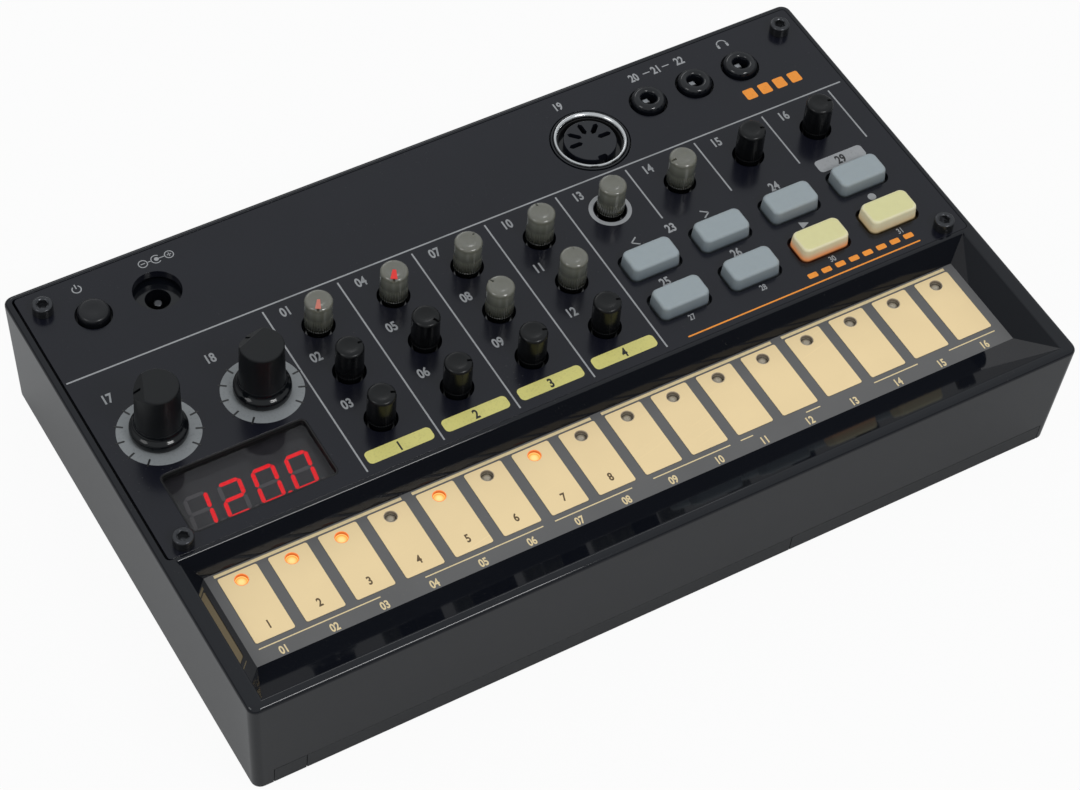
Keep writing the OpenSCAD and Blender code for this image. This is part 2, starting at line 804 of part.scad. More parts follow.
// Body of the power socket
module dc_jack() {
  face_z = top_z - dc_drop;
  color("#0c0d0f")
  difference() {
    block(
      [dc_x - dc_body_w / 2, socket_y - dc_body_w / 2, board_top],
      [dc_x + dc_body_w / 2, socket_y + dc_body_w / 2, face_z]
    );
    rod(dc_x, socket_y, board_top + 1, face_z + 1, dc_bore_d);
  }
}

// Centre pin of the power socket
module dc_pin() {
  color("#b9bcc0")
  translate([dc_x, socket_y, board_top + 1]) cap(dc_pin_d, top_z - dc_drop - board_top - 2, 0.4);
}

// Body of the round socket, with a collar through the panel
module din_housing() {
  color("#101114")
  difference() {
    union() {
      block(
        [din_x - din_body_w / 2, din_y - din_body_w / 2, board_top],
        [din_x + din_body_w / 2, din_y + din_body_w / 2, panel_z - body_gap]
      );
      rod(din_x, din_y, board_top, top_z, din_collar_d);
    }
    rod(din_x, din_y, board_top + din_wall_t, top_z + 1, din_ring_d + 2 * fit);
  }
}

// Metal ring of the round socket
module din_shell() {
  color("#c4c6c8")
  translate([din_x, din_y, board_top + din_wall_t]) rotate_extrude() {
    height = top_z - board_top - din_wall_t + 0.4;
    translate([din_ring_d / 2 - din_ring_t, 0]) square([din_ring_t, height - 0.2]);
    translate([din_ring_d / 2 - din_ring_t + 0.15, 0]) square([din_ring_t - 0.3, height]);
  }
}

// Contact block of the round socket: five radial slots and a key notch
module din_insert() {
  z0 = board_top + din_wall_t;
  slot_depth = 6;
  color("#1b1c1f")
  difference() {
    rod(din_x, din_y, z0, top_z - 0.2, din_insert_d);
    translate([din_x, din_y, top_z - slot_depth]) linear_extrude(slot_depth) {
      for (a = [0:45:180]) rotate(a) translate([3.7, 0]) slot_shape(2.9, 1);
      translate([0, -din_insert_d / 2]) square([2.2, 1.8], center = true);
    }
  }
}

// Short slot with round ends
module slot_shape(length, width) {
  square([length - width, width], center = true);
  for (s = [-1, 1]) translate([s * (length - width) / 2, 0]) circle(d = width);
}

// Small audio socket with a through bore and a rounded neck
module mini_jack(x) {
  neck_top = top_z + mini_proud;
  color("#0c0d0f")
  difference() {
    union() {
      block(
        [x - mini_body_w / 2, socket_y - mini_body_w / 2, board_top],
        [x + mini_body_w / 2, socket_y + mini_body_w / 2, panel_z - body_gap]
      );
      translate([x, socket_y, board_top]) cap(mini_neck_d, neck_top - board_top, mini_edge_r);
    }
    rod(x, socket_y, board_top - 1, neck_top + 1, mini_bore_d);
    translate([x, socket_y, neck_top - mini_chamfer])
      cylinder(h = mini_chamfer + eps, d1 = mini_bore_d, d2 = mini_bore_d + 2 * mini_chamfer);
  }
}

module sync_in_jack() { mini_jack(mini_x[0]); }
module sync_out_jack() { mini_jack(mini_x[1]); }
module headphone_jack() { mini_jack(mini_x[2]); }

// Round power button with its flange and plunger
module power_button() {
  color("#0f1012")
  translate([power_x, socket_y, 0]) {
    translate([0, 0, panel_z - flange_t]) {
      cap(power_d, panel_t + power_h + flange_t, 0.9);
      cylinder(h = flange_t, d = power_d + 2 * hole_gap + 1.6);
    }
    plunger();
  }
}

// Plunger that reaches down into a switch
module plunger() {
  translate([0, 0, board_top + 1 + travel + 0.2])
    cylinder(h = panel_z - flange_t - board_top - 1 - travel - 0.2 + eps, d = plunger_d);
}

// Soft-edged step button in column c and row r
module button(c, r) {
  lit = len([for (p = lit_buttons) if (p == [c, r]) 1]) > 0;
  color(lit ? "#e1dfa0" : "#a3afb4")
  translate([button_x(c), button_y(r), 0]) {
    hull($fn = 32) {
      slab(panel_z - eps, button_w, button_l, button_r, $fn = 32);
      slab(top_z + button_h - 0.9, button_w - 0.3, button_l - 0.3, button_r, $fn = 32);
      slab(top_z + button_h - 0.3, button_w - 0.9, button_l - 0.9, button_r, $fn = 32);
      slab(top_z + button_h - eps, button_w - 1.9, button_l - 1.9, button_r - 0.4, $fn = 32);
    }
    slab(panel_z - flange_t, button_w + 2 * flange_w, button_l + 2 * flange_w, 1, flange_t);
    plunger();
  }
}

// Socket-head screw, pointing down, its head standing on height z
module socket_screw(x, y, z, length, d, head, height) {
  translate([x, y, z]) difference() {
    union() {
      cap(head, height, 0.3);
      translate([0, 0, -length]) cylinder(h = length + eps, d = d);
    }
    translate([0, 0, height - 1.2]) cylinder(h = 2, d = 2.3, $fn = 6);
  }
}

// Screws that hold the control panel
module panel_screws() {
  color("#1a1b1e")
  for (sx = [-1, 1], y = panel_screw_ys)
    socket_screw(
      sx * panel_screw_x, y, top_z, panel_t + panel_screw_len - 1.5, screw_d - 2 * fit, head_d, head_h
    );
}

// Screws that hold the bottom, driven from below
module case_screws() {
  color("#1a1b1e")
  for (p = case_screws_at)
    translate([p[0], p[1], case_head_z + case_head_h]) rotate([180, 0, 0])
      socket_screw(0, 0, 0, case_screw_len, screw_d - 2 * fit, head_d, case_head_h);
}

// Screws that hold the main board
module board_screws() {
  color("#b9bcc0")
  for (p = board_screws_at)
    socket_screw(p[0], p[1], board_top, board_screw_len, screw_d - 2 * fit, head_d, 1.6);
}

// Soft feet pressed into recesses in the bottom
module rubber_feet() {
  color("#1c1c1c")
  for (sx = [-1, 1], y = foot_ys)
    translate([sx * foot_x, y, base_z + foot_recess]) rotate([180, 0, 0])
      cap(foot_d, foot_h + foot_recess, 0.6);
}

// Small potentiometers, one under each small knob
module small_pots() {
  color("#2a5f9e")
  for (c = [1:columns], r = [1:len(knob_angles[c - 1])])
    difference() {
      translate([col_x(c) - pot_w / 2, row_y(r) - pot_w / 2, board_top]) cube([pot_w, pot_w, pot_h]);
      rod(col_x(c), row_y(r), board_top + 0.5, board_top + pot_h + 1, stem_d + 2 * fit);
    }
}

// Potentiometers of the dials, with a bush through the panel
module dial_pots() {
  color("#8b8f94")
  for (x = dial_x)
    difference() {
      union() {
        translate([x - dial_pot_w / 2, dial_y - dial_pot_w / 2, board_top])
          cube([dial_pot_w, dial_pot_w, pot_h]);
        rod(x, dial_y, board_top, top_z - 0.3, bush_d);
      }
      rod(x, dial_y, board_top + 0.5, top_z + 1, shaft_d + 2 * fit);
    }
}

// Switches under the buttons and the power button
module tact_switches() {
  places = concat(
    [for (c = [1:4]) for (r = [1:button_rows]) [button_x(c), button_y(r)]],
    [[power_x, socket_y]]
  );
  color("#303236")
  for (p = places)
    difference() {
      translate([p[0] - switch_w / 2, p[1] - switch_w / 2, board_top]) cube([switch_w, switch_w, switch_h]);
      rod(p[0], p[1], board_top + 1, board_top + switch_h + 1, plunger_d + 0.6);
    }
}

// Small knob in column c and row r, with a pointer notch in its top edge
module knob(c, r) {
  z0 = panel_z - 1.2;
  smoky = len([for (p = smoky_knobs) if (p == [c, r]) 1]) > 0;
  color(smoky ? "#6f6e64" : "#0c0e10")
  translate([col_x(c), row_y(r), 0]) rotate(knob_angles[c - 1][r - 1]) difference() {
    union() {
      translate([0, 0, z0]) cap(knob_d, top_z + knob_h - z0, 0.6);
      rod(0, 0, board_top + 0.7, z0 + eps, stem_d);
    }
    translate([-0.3, knob_d / 2 - 1.4, top_z + knob_h - 0.6]) cube([0.6, 2, 1]);
  }
}

// Large dial with a skirt and a sloping pointer facet
module dial(i) {
  z0 = top_z + dial_lift;
  z1 = top_z + dial_h;
  chamfer = 0.35;
  color("#0c0e10")
  translate([dial_x[i], dial_y, 0]) rotate(dial_angles[i]) difference() {
    union() {
      translate([0, 0, z0]) cap(skirt_d, skirt_h - dial_lift, 1.3);
      translate([0, 0, z0]) cylinder(h = z1 - z0 - chamfer, d1 = dial_d, d2 = dial_top_d);
      translate([0, 0, z1 - chamfer - eps])
        cylinder(h = chamfer + eps, d1 = dial_top_d, d2 = dial_top_d - 2 * chamfer);
    }
    rod(0, 0, z0 - 1, z0 + dial_h - 4, shaft_d + 2 * fit);
    translate([0, facet_reach, z1]) rotate([-facet_angle, 0, 0])
      block([-dial_d, 0, 0], [dial_d, dial_d, dial_d]);
  }
}

module left_dial() { dial(0); }
module right_dial() { dial(1); }

// Shaft from a potentiometer up into its dial
module dial_shaft(i) {
  color("#b9bcc0")
  rod(dial_x[i], dial_y, board_top + 0.7, top_z + dial_lift + dial_h - 4.2, shaft_d);
}

module left_dial_shaft() { dial_shaft(0); }
module right_dial_shaft() { dial_shaft(1); }

top_case();
control_panel();
bottom_case();
battery_cover();
keyboard_plate();
touch_pads();
key_lenses();
display_window();
display_module();
main_board();
key_board();
board_header();
speaker();
speaker_cone();
battery_contacts();
aa_cells();
dc_jack();
dc_pin();
din_housing();
din_shell();
din_insert();
sync_in_jack();
sync_out_jack();
headphone_jack();
power_button();
panel_screws();
case_screws();
board_screws();
rubber_feet();
small_pots();
dial_pots();
tact_switches();
left_dial();
right_dial();
left_dial_shaft();
right_dial_shaft();
for (c = [1:columns], r = [1:len(knob_angles[c - 1])])
  knob(c, r);
for (c = [1:4], r = [1:button_rows])
  button(c, r);
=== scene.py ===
"""Finished pieces, materials and a small studio for a battery drum machine.

All sizes in this file are in millimetres unless a name says otherwise. The modelling helpers turn
them into metres when they make a mesh.
"""

import logging
import math
from dataclasses import dataclass, field
from enum import Enum
from typing import Callable, Iterator, Optional, Sequence, Union

import bmesh
import bpy
from mathutils import Matrix, Vector


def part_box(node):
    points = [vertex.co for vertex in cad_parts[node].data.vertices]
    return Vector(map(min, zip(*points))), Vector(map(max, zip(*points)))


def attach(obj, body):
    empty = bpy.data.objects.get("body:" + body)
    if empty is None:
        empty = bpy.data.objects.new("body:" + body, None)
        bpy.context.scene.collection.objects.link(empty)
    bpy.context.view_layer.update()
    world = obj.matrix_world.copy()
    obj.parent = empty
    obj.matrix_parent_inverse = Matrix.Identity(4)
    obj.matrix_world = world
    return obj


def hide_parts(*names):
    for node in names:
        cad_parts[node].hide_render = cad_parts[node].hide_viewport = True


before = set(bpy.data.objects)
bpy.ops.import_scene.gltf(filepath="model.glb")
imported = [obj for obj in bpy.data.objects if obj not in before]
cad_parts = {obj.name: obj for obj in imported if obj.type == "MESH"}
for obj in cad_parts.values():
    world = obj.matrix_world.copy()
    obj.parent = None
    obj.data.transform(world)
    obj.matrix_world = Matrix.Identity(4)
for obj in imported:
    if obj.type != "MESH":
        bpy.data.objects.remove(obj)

logging.basicConfig(level=logging.INFO, format="%(message)s")
LOG = logging.getLogger("drum_machine")

MM = 0.001
Colour = tuple[float, float, float]
Spot = tuple[float, float]
Corner = tuple[float, float, float]
Stops = tuple[tuple[float, Colour], ...]
Test = Callable[[Vector, Vector], bool]


def srgb(red: float, green: float, blue: float) -> Colour:
    """Turns display values into the linear colour that a shader takes.

    Args:
        red: Red from 0 to 255.
        green: Green from 0 to 255.
        blue: Blue from 0 to 255.

    Returns:
        The three linear values from 0 to 1.
    """
    shares = (red / 255, green / 255, blue / 255)
    linear = [v / 12.92 if v <= 0.04045 else ((v + 0.055) / 1.055) ** 2.4 for v in shares]
    return linear[0], linear[1], linear[2]


def shaded(colour: Colour, factor: float) -> Colour:
    """Returns a colour made lighter or darker by a factor."""
    return colour[0] * factor, colour[1] * factor, colour[2] * factor


def layers(*rows: tuple[float, float, float, float]) -> Stops:
    """Turns levels, each with the display values of its colour, into stops."""
    return tuple((level, srgb(*colour)) for level, *colour in rows)


# ---- shader building ----


class Wire:
    """An output socket of a shader tree that takes part in arithmetic."""

    def __init__(self, shade: "Tree", socket: bpy.types.NodeSocket) -> None:
        """Wraps one output socket of a tree under construction."""
        self.shade, self.socket = shade, socket

    def _math(self, operation: str, first: "Value", second: "Value") -> "Wire":
        """Adds a Math node to the tree.

        Args:
            operation: Name of the node's operation.
            first: Wire or number on the first socket.
            second: Wire or number on the second socket.

        Returns:
            The result as a new wire.
        """
        return self.shade.wire("ShaderNodeMath", {"operation": operation}, {0: first, 1: second})

    def __add__(self, other: "Value") -> "Wire":
        """Adds a wire or a number."""
        return self._math("ADD", self, other)

    def __radd__(self, other: "Value") -> "Wire":
        """Adds this wire to a number."""
        return self._math("ADD", other, self)

    def __sub__(self, other: "Value") -> "Wire":
        """Subtracts a wire or a number."""
        return self._math("SUBTRACT", self, other)

    def __rsub__(self, other: "Value") -> "Wire":
        """Subtracts this wire from a number."""
        return self._math("SUBTRACT", other, self)

    def __mul__(self, other: "Value") -> "Wire":
        """Multiplies by a wire or a number."""
        return self._math("MULTIPLY", self, other)

    def __rmul__(self, other: "Value") -> "Wire":
        """Multiplies a number by this wire."""
        return self._math("MULTIPLY", other, self)


Value = Union[Wire, float, int, tuple]


class Tree:
    """A node tree under construction."""

    def __init__(self, tree: bpy.types.NodeTree) -> None:
        """Starts with an empty tree."""
        self.tree = tree
        self.tree.nodes.clear()

    def node(
        self, kind: str, settings: Optional[dict] = None, inputs: Optional[dict] = None
    ) -> bpy.types.Node:
        """Adds a node.

        Args:
            kind: Blender's name of the node type.
            settings: Properties of the node, and "stops" for the stops of a ramp.
            inputs: Values or wires of its sockets, by name or number.

        Returns:
            The new node.
        """
        node = self.tree.nodes.new(kind)
        for key, value in (settings or {}).items():
            if key == "stops":
                self._set_stops(node.color_ramp, value)
            else:
                setattr(node, key, value)
        for key, value in (inputs or {}).items():
            self.feed(node.inputs[key], value)
        return node

    def wire(
        self,
        kind: str,
        settings: Optional[dict] = None,
        inputs: Optional[dict] = None,
        output: Union[int, str] = 0,
    ) -> Wire:
        """Adds a node as node() does and returns one of its outputs."""
        return Wire(self, self.node(kind, settings, inputs).outputs[output])

    def feed(self, socket: bpy.types.NodeSocket, value: Value) -> None:
        """Links a wire to a socket, or sets the socket's own value.

        Args:
            socket: The input socket.
            value: A wire, or a number, colour or vector.
        """
        if isinstance(value, Wire):
            self.tree.links.new(value.socket, socket)
        elif isinstance(value, tuple) and len(socket.default_value) == 4:
            socket.default_value = (*value[:3], 1.0)
        else:
            socket.default_value = value

    @staticmethod
    def _set_stops(ramp: bpy.types.ColorRamp, stops: Stops) -> None:
        """Gives a ramp its stops.

        Args:
            ramp: The ramp of a node.
            stops: Places from 0 to 1 and their colours.
        """
        while len(ramp.elements) < len(stops):
            ramp.elements.new(1.0)
        for element, (place, colour) in zip(ramp.elements, stops):
            element.position = place
            element.color = (*colour, 1.0)

    def band(self, value: Wire, low: float, high: float) -> Wire:
        """Returns 0 below low and 1 above high, with a soft step between."""
        settings = {"interpolation_type": "SMOOTHSTEP"}
        inputs = {0: value, 1: low, 2: high, 3: 0.0, 4: 1.0}
        return self.wire("ShaderNodeMapRange", settings, inputs)

    def blend(self, share: Value, first: Value, second: Value) -> Wire:
        """Mixes two colours by a share from 0 to 1."""
        inputs = {0: share, 6: first, 7: second}
        return self.wire("ShaderNodeMix", {"data_type": "RGBA"}, inputs, output=2)

    def ramp(self, value: Wire, stops: Stops) -> Wire:
        """Returns the colour of a ramp at a value from 0 to 1."""
        return self.wire("ShaderNodeValToRGB", {"stops": stops}, {0: value})

    def seen_as_backdrop(self, mirrored: Value = 1.0) -> Wire:
        """Marks what is seen, as against what only gives light.

        Args:
            mirrored: Share of the mark for what metal and glass show.

        Returns:
            A wire that is 1 for what the camera sees itself.
        """
        path = self.node("ShaderNodeLightPath")
        rays = ("Is Camera Ray", "Is Glossy Ray", "Is Transmission Ray")
        camera, glossy, through = (Wire(self, path.outputs[ray]) for ray in rays)
        return camera + (glossy + through) * mirrored


class Shade(Tree):
    """A Principled material under construction."""

    def __init__(self, name: str) -> None:
        """Starts a material with its surface, its output and its coordinates.

        Args:
            name: Name of the material.
        """
        self.material = bpy.data.materials.new(name)
        self.material.use_nodes = True
        super().__init__(self.material.node_tree)
        self.surface = self.node("ShaderNodeBsdfPrincipled")
        self.out = self.node("ShaderNodeOutputMaterial")
        self.feed(self.out.inputs[0], Wire(self, self.surface.outputs[0]))
        self.place = self.wire("ShaderNodeTexCoord", output="Object")

    def stretched(self, stretch: Corner, turn: float = 0.0) -> Wire:
        """Returns the object coordinates, squeezed on each axis and turned about Z."""
        rotation = (0.0, 0.0, math.radians(turn))
        inputs = {"Vector": self.place, "Scale": stretch, "Rotation": rotation}
        return self.wire("ShaderNodeMapping", {"vector_type": "TEXTURE"}, inputs)

    def noise(self, size: float, detail: float = 3.0, along: Optional[Wire] = None) -> Wire:
        """Returns a noise from 0 to 1 with features of a size in millimetres."""
        inputs = {"Vector": along or self.place, "Scale": 1 / (size * MM), "Detail": detail}
        return self.wire("ShaderNodeTexNoise", {}, inputs)

    def height(self) -> Wire:
        """Returns the height over the table in millimetres."""
        return self.wire("ShaderNodeSeparateXYZ", {}, {0: self.place}, output=2) * (1 / MM)

    def bump(self, height: Value, distance: float) -> None:
        """Raises the surface by a height from 0 to 1 over a distance in millimetres."""
        inputs = {"Height": height, "Distance": distance * MM}
        self.dress({"Normal": self.wire("ShaderNodeBump", {}, inputs)})

    def dress(self, inputs: dict) -> None:
        """Feeds values or wires to the surface's sockets."""
        for key, value in inputs.items():
            self.feed(self.surface.inputs[key], value)


# ---- the finishes ----


SCATTER: Colour = (1.0, 0.9, 0.7)
SCRATCH_STRETCH: Corner = (26.0, 0.5, 2.0)
SCRATCH_TURN = 12.0
DUST = srgb(150, 148, 142)
WINDOW_DUST = srgb(120, 118, 114)
SOLDER = srgb(196, 190, 170)
BLACK_UNDER = srgb(42, 43, 47)
KNOB_UNDER = srgb(96, 92, 80)
SLEEVE_LENGTH = 50.5


@dataclass(frozen=True)
class Finish:
    """A named finish, which paints a new material in the way of its kind."""

    name: str

    def material(self) -> bpy.types.Material:
        """Builds the material.

        Returns:
            The new material.
        """
        shade = Shade(self.name)
        self.paint(shade)
        return shade.material

    def paint(self, shade: Shade) -> None:
        """Paints the material, which each kind does its own way."""
        raise NotImplementedError


@dataclass(frozen=True)
class Moulding(Finish):
    """Moulded plastic or rubber with drift in colour, grain, fine scratches and dust."""

    colour: Colour
    roughness: float
    drift: float = 0.12
    drift_size: float = 12.0
    grain: float = 0.0
    grain_size: float = 0.25
    scratches: float = 0.0
    dust: float = 0.0
    ior: float = 1.46
    sheen: float = 0.0
    polish_under: float = 0.0

    def paint(self, shade: Shade) -> None:
        """Paints the material.

        Args:
            shade: The new material.
        """
        drift = shade.noise(self.drift_size, 4.0)
        light, dark = shaded(self.colour, 1 + self.drift), shaded(self.colour, 1 - self.drift)
        base = shade.blend(drift, dark, light)
        rough = self.roughness + (drift - 0.5) * (0.25 * self.roughness)
        if self.scratches:
            lines = shade.noise(1.1, 5.0, shade.stretched(SCRATCH_STRETCH, SCRATCH_TURN))
            marks = shade.band(lines, 0.62, 0.72) * shade.band(shade.noise(30.0), 0.4, 0.65)
            rough = rough + marks * (0.5 * self.scratches)
            base = shade.blend(marks * (0.3 * self.scratches), base, shaded(self.colour, 3.0))
        if self.dust:
            specks = shade.band(shade.noise(0.55, 1.0), 0.7, 0.76)
            specks = specks * shade.band(shade.noise(17.0), 0.42, 0.7) * self.dust
            base = shade.blend(specks, base, DUST)
            rough = rough + specks * 0.4
        if self.polish_under:
            above = shade.band(shade.height(), self.polish_under, self.polish_under + 0.4)
            rough = rough * (above * 0.78 + 0.22)
        shade.dress({"Base Color": base, "Roughness": rough})
        shade.dress({"IOR": self.ior, "Sheen Weight": self.sheen})
        if self.grain:
            shade.bump(shade.noise(self.grain_size, 2.0), self.grain)


@dataclass(frozen=True)
class Layered(Finish):
    """Translucent plastic or rubber whose colour, painted shade and highlights, and glow vary with
    height.
    """

    stops: Stops
    roughness: float
    cloud: float = 0.1
    cloud_size: float = 1.8
    glow: Stops = ()
    glow_strength: float = 0.0
    subsurface: float = 0.2
    sheen: float = 0.0
    coat: float = 0.0
    grain: float = 0.0

    @staticmethod
    def _at_height(shade: Shade, stops: Stops) -> Wire:
        """Lays colours over the height of a piece, painted shade and highlights among them.

        Args:
            shade: The new material.
            stops: Levels in millimetres and their colours.

        Returns:
            The colour at the surface's height.
        """
        low, high = stops[0][0], stops[-1][0]
        share = (shade.height() - low) * (1 / (high - low))
        places = tuple(((level - low) / (high - low), colour) for level, colour in stops)
        return shade.ramp(share, places)

    def paint(self, shade: Shade) -> None:
        """Paints the material.

        Args:
            shade: The new material.
        """
        cloud = shade.noise(self.cloud_size, 3.0)
        base = self._at_height(shade, self.stops)
        base = shade.blend(cloud * self.cloud, base, shaded(self.stops[1][1], 0.55))
        shade.dress({"Base Color": base, "Roughness": self.roughness + (cloud - 0.5) * 0.12})
        shade.dress({"IOR": 1.48, "Sheen Weight": self.sheen})
        shade.dress({"Coat Weight": self.coat, "Coat Roughness": 0.07})
        shade.dress({"Subsurface Weight": self.subsurface, "Subsurface Radius": SCATTER})
        shade.dress({"Subsurface Scale": 0.0015})
        if self.glow_strength:
            light = self._at_height(shade, self.glow)
            light = shade.blend(cloud * 0.2, light, shaded(self.glow[0][1], 0.7))
            shade.dress({"Emission Color": light, "Emission Strength": self.glow_strength})
        if self.grain:
            shade.bump(shade.noise(0.3, 2.0), self.grain)


@dataclass(frozen=True)
class Metal(Finish):
    """Bare or plated metal with a brushed direction and fine wear."""

    colour: Colour
    roughness: float
    brushed: Corner = (1.0, 1.0, 30.0)
    metallic: float = 1.0
    tarnish: float = 0.15

    def paint(self, shade: Shade) -> None:
        """Paints the material.

        Args:
            shade: The new material.
        """
        lines = shade.noise(1.6, 4.0, shade.stretched(self.brushed))
        wear = shade.noise(4.0, 4.0)
        base = shade.blend(wear * self.tarnish, self.colour, shaded(self.colour, 0.45))
        rough = self.roughness + (lines - 0.5) * 0.16 + wear * 0.06
        shade.dress({"Base Color": base, "Roughness": rough, "Metallic": self.metallic})
        shade.bump(lines, 0.004)


@dataclass(frozen=True)
class Ink(Finish):
    """Printing ink with a slightly uneven cover."""

    colour: Colour
    under: Colour
    roughness: float = 0.45
    wear: float = 0.15

    def paint(self, shade: Shade) -> None:
        """Paints the material.

        Args:
            shade: The new material.
        """
        cover = shade.band(shade.noise(0.4, 3.0), 0.28, 0.5)
        cloud = shade.noise(5.0, 2.0)
        full = shade.blend(cloud, shaded(self.colour, 0.93), shaded(self.colour, 1.05))
        base = shade.blend(cover * self.wear + (1 - self.wear), self.under, full)
        shade.dress({"Base Color": base, "Roughness": self.roughness + (cover - 0.5) * -0.1})


@dataclass(frozen=True)
class Glow(Finish):
    """A lit lens or segment, brighter at its middle height than at its edge."""

    core: Colour
    edge: Colour
    strength: float
    low: float
    high: float

    def paint(self, shade: Shade) -> None:
        """Paints the material.

        Args:
            shade: The new material.
        """
        rise = shade.band(shade.height(), self.low, self.high)
        cloud = shade.noise(0.6, 2.0)
        light = shade.blend(rise, self.edge, self.core)
        light = shade.blend(cloud * 0.18, light, shaded(self.edge, 0.8))
        shade.dress({"Base Color": shade.blend(cloud, shaded(self.edge, 0.5), self.edge)})
        shade.dress({"Emission Color": light, "Emission Strength": self.strength})
        shade.dress({"Roughness": 0.22 + cloud * 0.08, "Specular IOR Level": 0.0})


@dataclass(frozen=True)
class SmokedSheet(Finish):
    """A smoked clear sheet that dims what lies behind it and mirrors what stands over it."""

    colour: Colour
    cover: float
    roughness: float = 0.03

    def paint(self, shade: Shade) -> None:
        """Paints the material.

        Args:
            shade: The new material.
        """
        smear = shade.noise(7.0, 3.0)
        dust = shade.band(shade.noise(0.3, 1.0), 0.71, 0.76) * 0.5
        base = shade.blend(dust, self.colour, WINDOW_DUST)
        shade.dress({"Base Color": base, "Roughness": self.roughness + smear * 0.05 + dust * 0.2})
        shade.dress({"Alpha": self.cover, "IOR": 1.8})


@dataclass(frozen=True)
class Board(Finish):
    """Green solder mask over tracks and pads."""

    mask: Colour
    track: Colour

    def paint(self, shade: Shade) -> None:
        """Paints the material.

        Args:
            shade: The new material.
        """
        inputs = {"Vector": shade.stretched((1.0, 1.0, 4.0), 45.0), "Scale": 1 / (2.6 * MM)}
        settings = {"feature": "F1", "distance": "CHEBYCHEV"}
        cells = shade.wire("ShaderNodeTexVoronoi", settings, inputs)
        tracks = shade.band(cells, 0.42, 0.46)
        speck = shade.band(shade.noise(1.4, 1.0), 0.68, 0.7)
        base = shade.blend(tracks, self.mask, self.track)
        base = shade.blend(speck, base, SOLDER)
        shade.dress({"Base Color": base, "Roughness": 0.32 + speck * 0.2})
        shade.bump(tracks, 0.03)


@dataclass(frozen=True)
class Sleeve(Finish):
    """A plain sleeve on the battery cells, with one band round each cell."""

    main: Colour
    band: Colour

    def paint(self, shade: Shade) -> None:
        """Paints the material.

        Args:
            shade: The new material.
        """
        scale = math.tau / 20 / (SLEEVE_LENGTH * MM)
        inputs = {"Vector": shade.place, "Scale": scale, "Distortion": 0.0}
        settings = {"wave_type": "BANDS", "bands_direction": "X", "wave_profile": "SAW"}
        along = shade.wire("ShaderNodeTexWave", settings, inputs)
        cloud = shade.noise(3.0, 3.0)
        band = shade.band(along, 0.6, 0.62) * (1 - shade.band(along, 0.8, 0.82))
        base = shade.blend(band, self.main, self.band)
        base = shade.blend(cloud * 0.2, base, shaded(self.main, 0.5))
        shade.dress({"Base Color": base, "Roughness": 0.28 + cloud * 0.12, "Metallic": 0.35})
        shade.bump(cloud, 0.01)


# Painted highlight: the rounded edge of a lit button's top is lighter than its flat top.
LIT_TOP_HIGHLIGHT = layers((34.2, 218, 212, 178), (34.33, 204, 200, 146))
GLOW_TOP: Stops = ((34.4, (0.32, 0.3, 0.18)),)


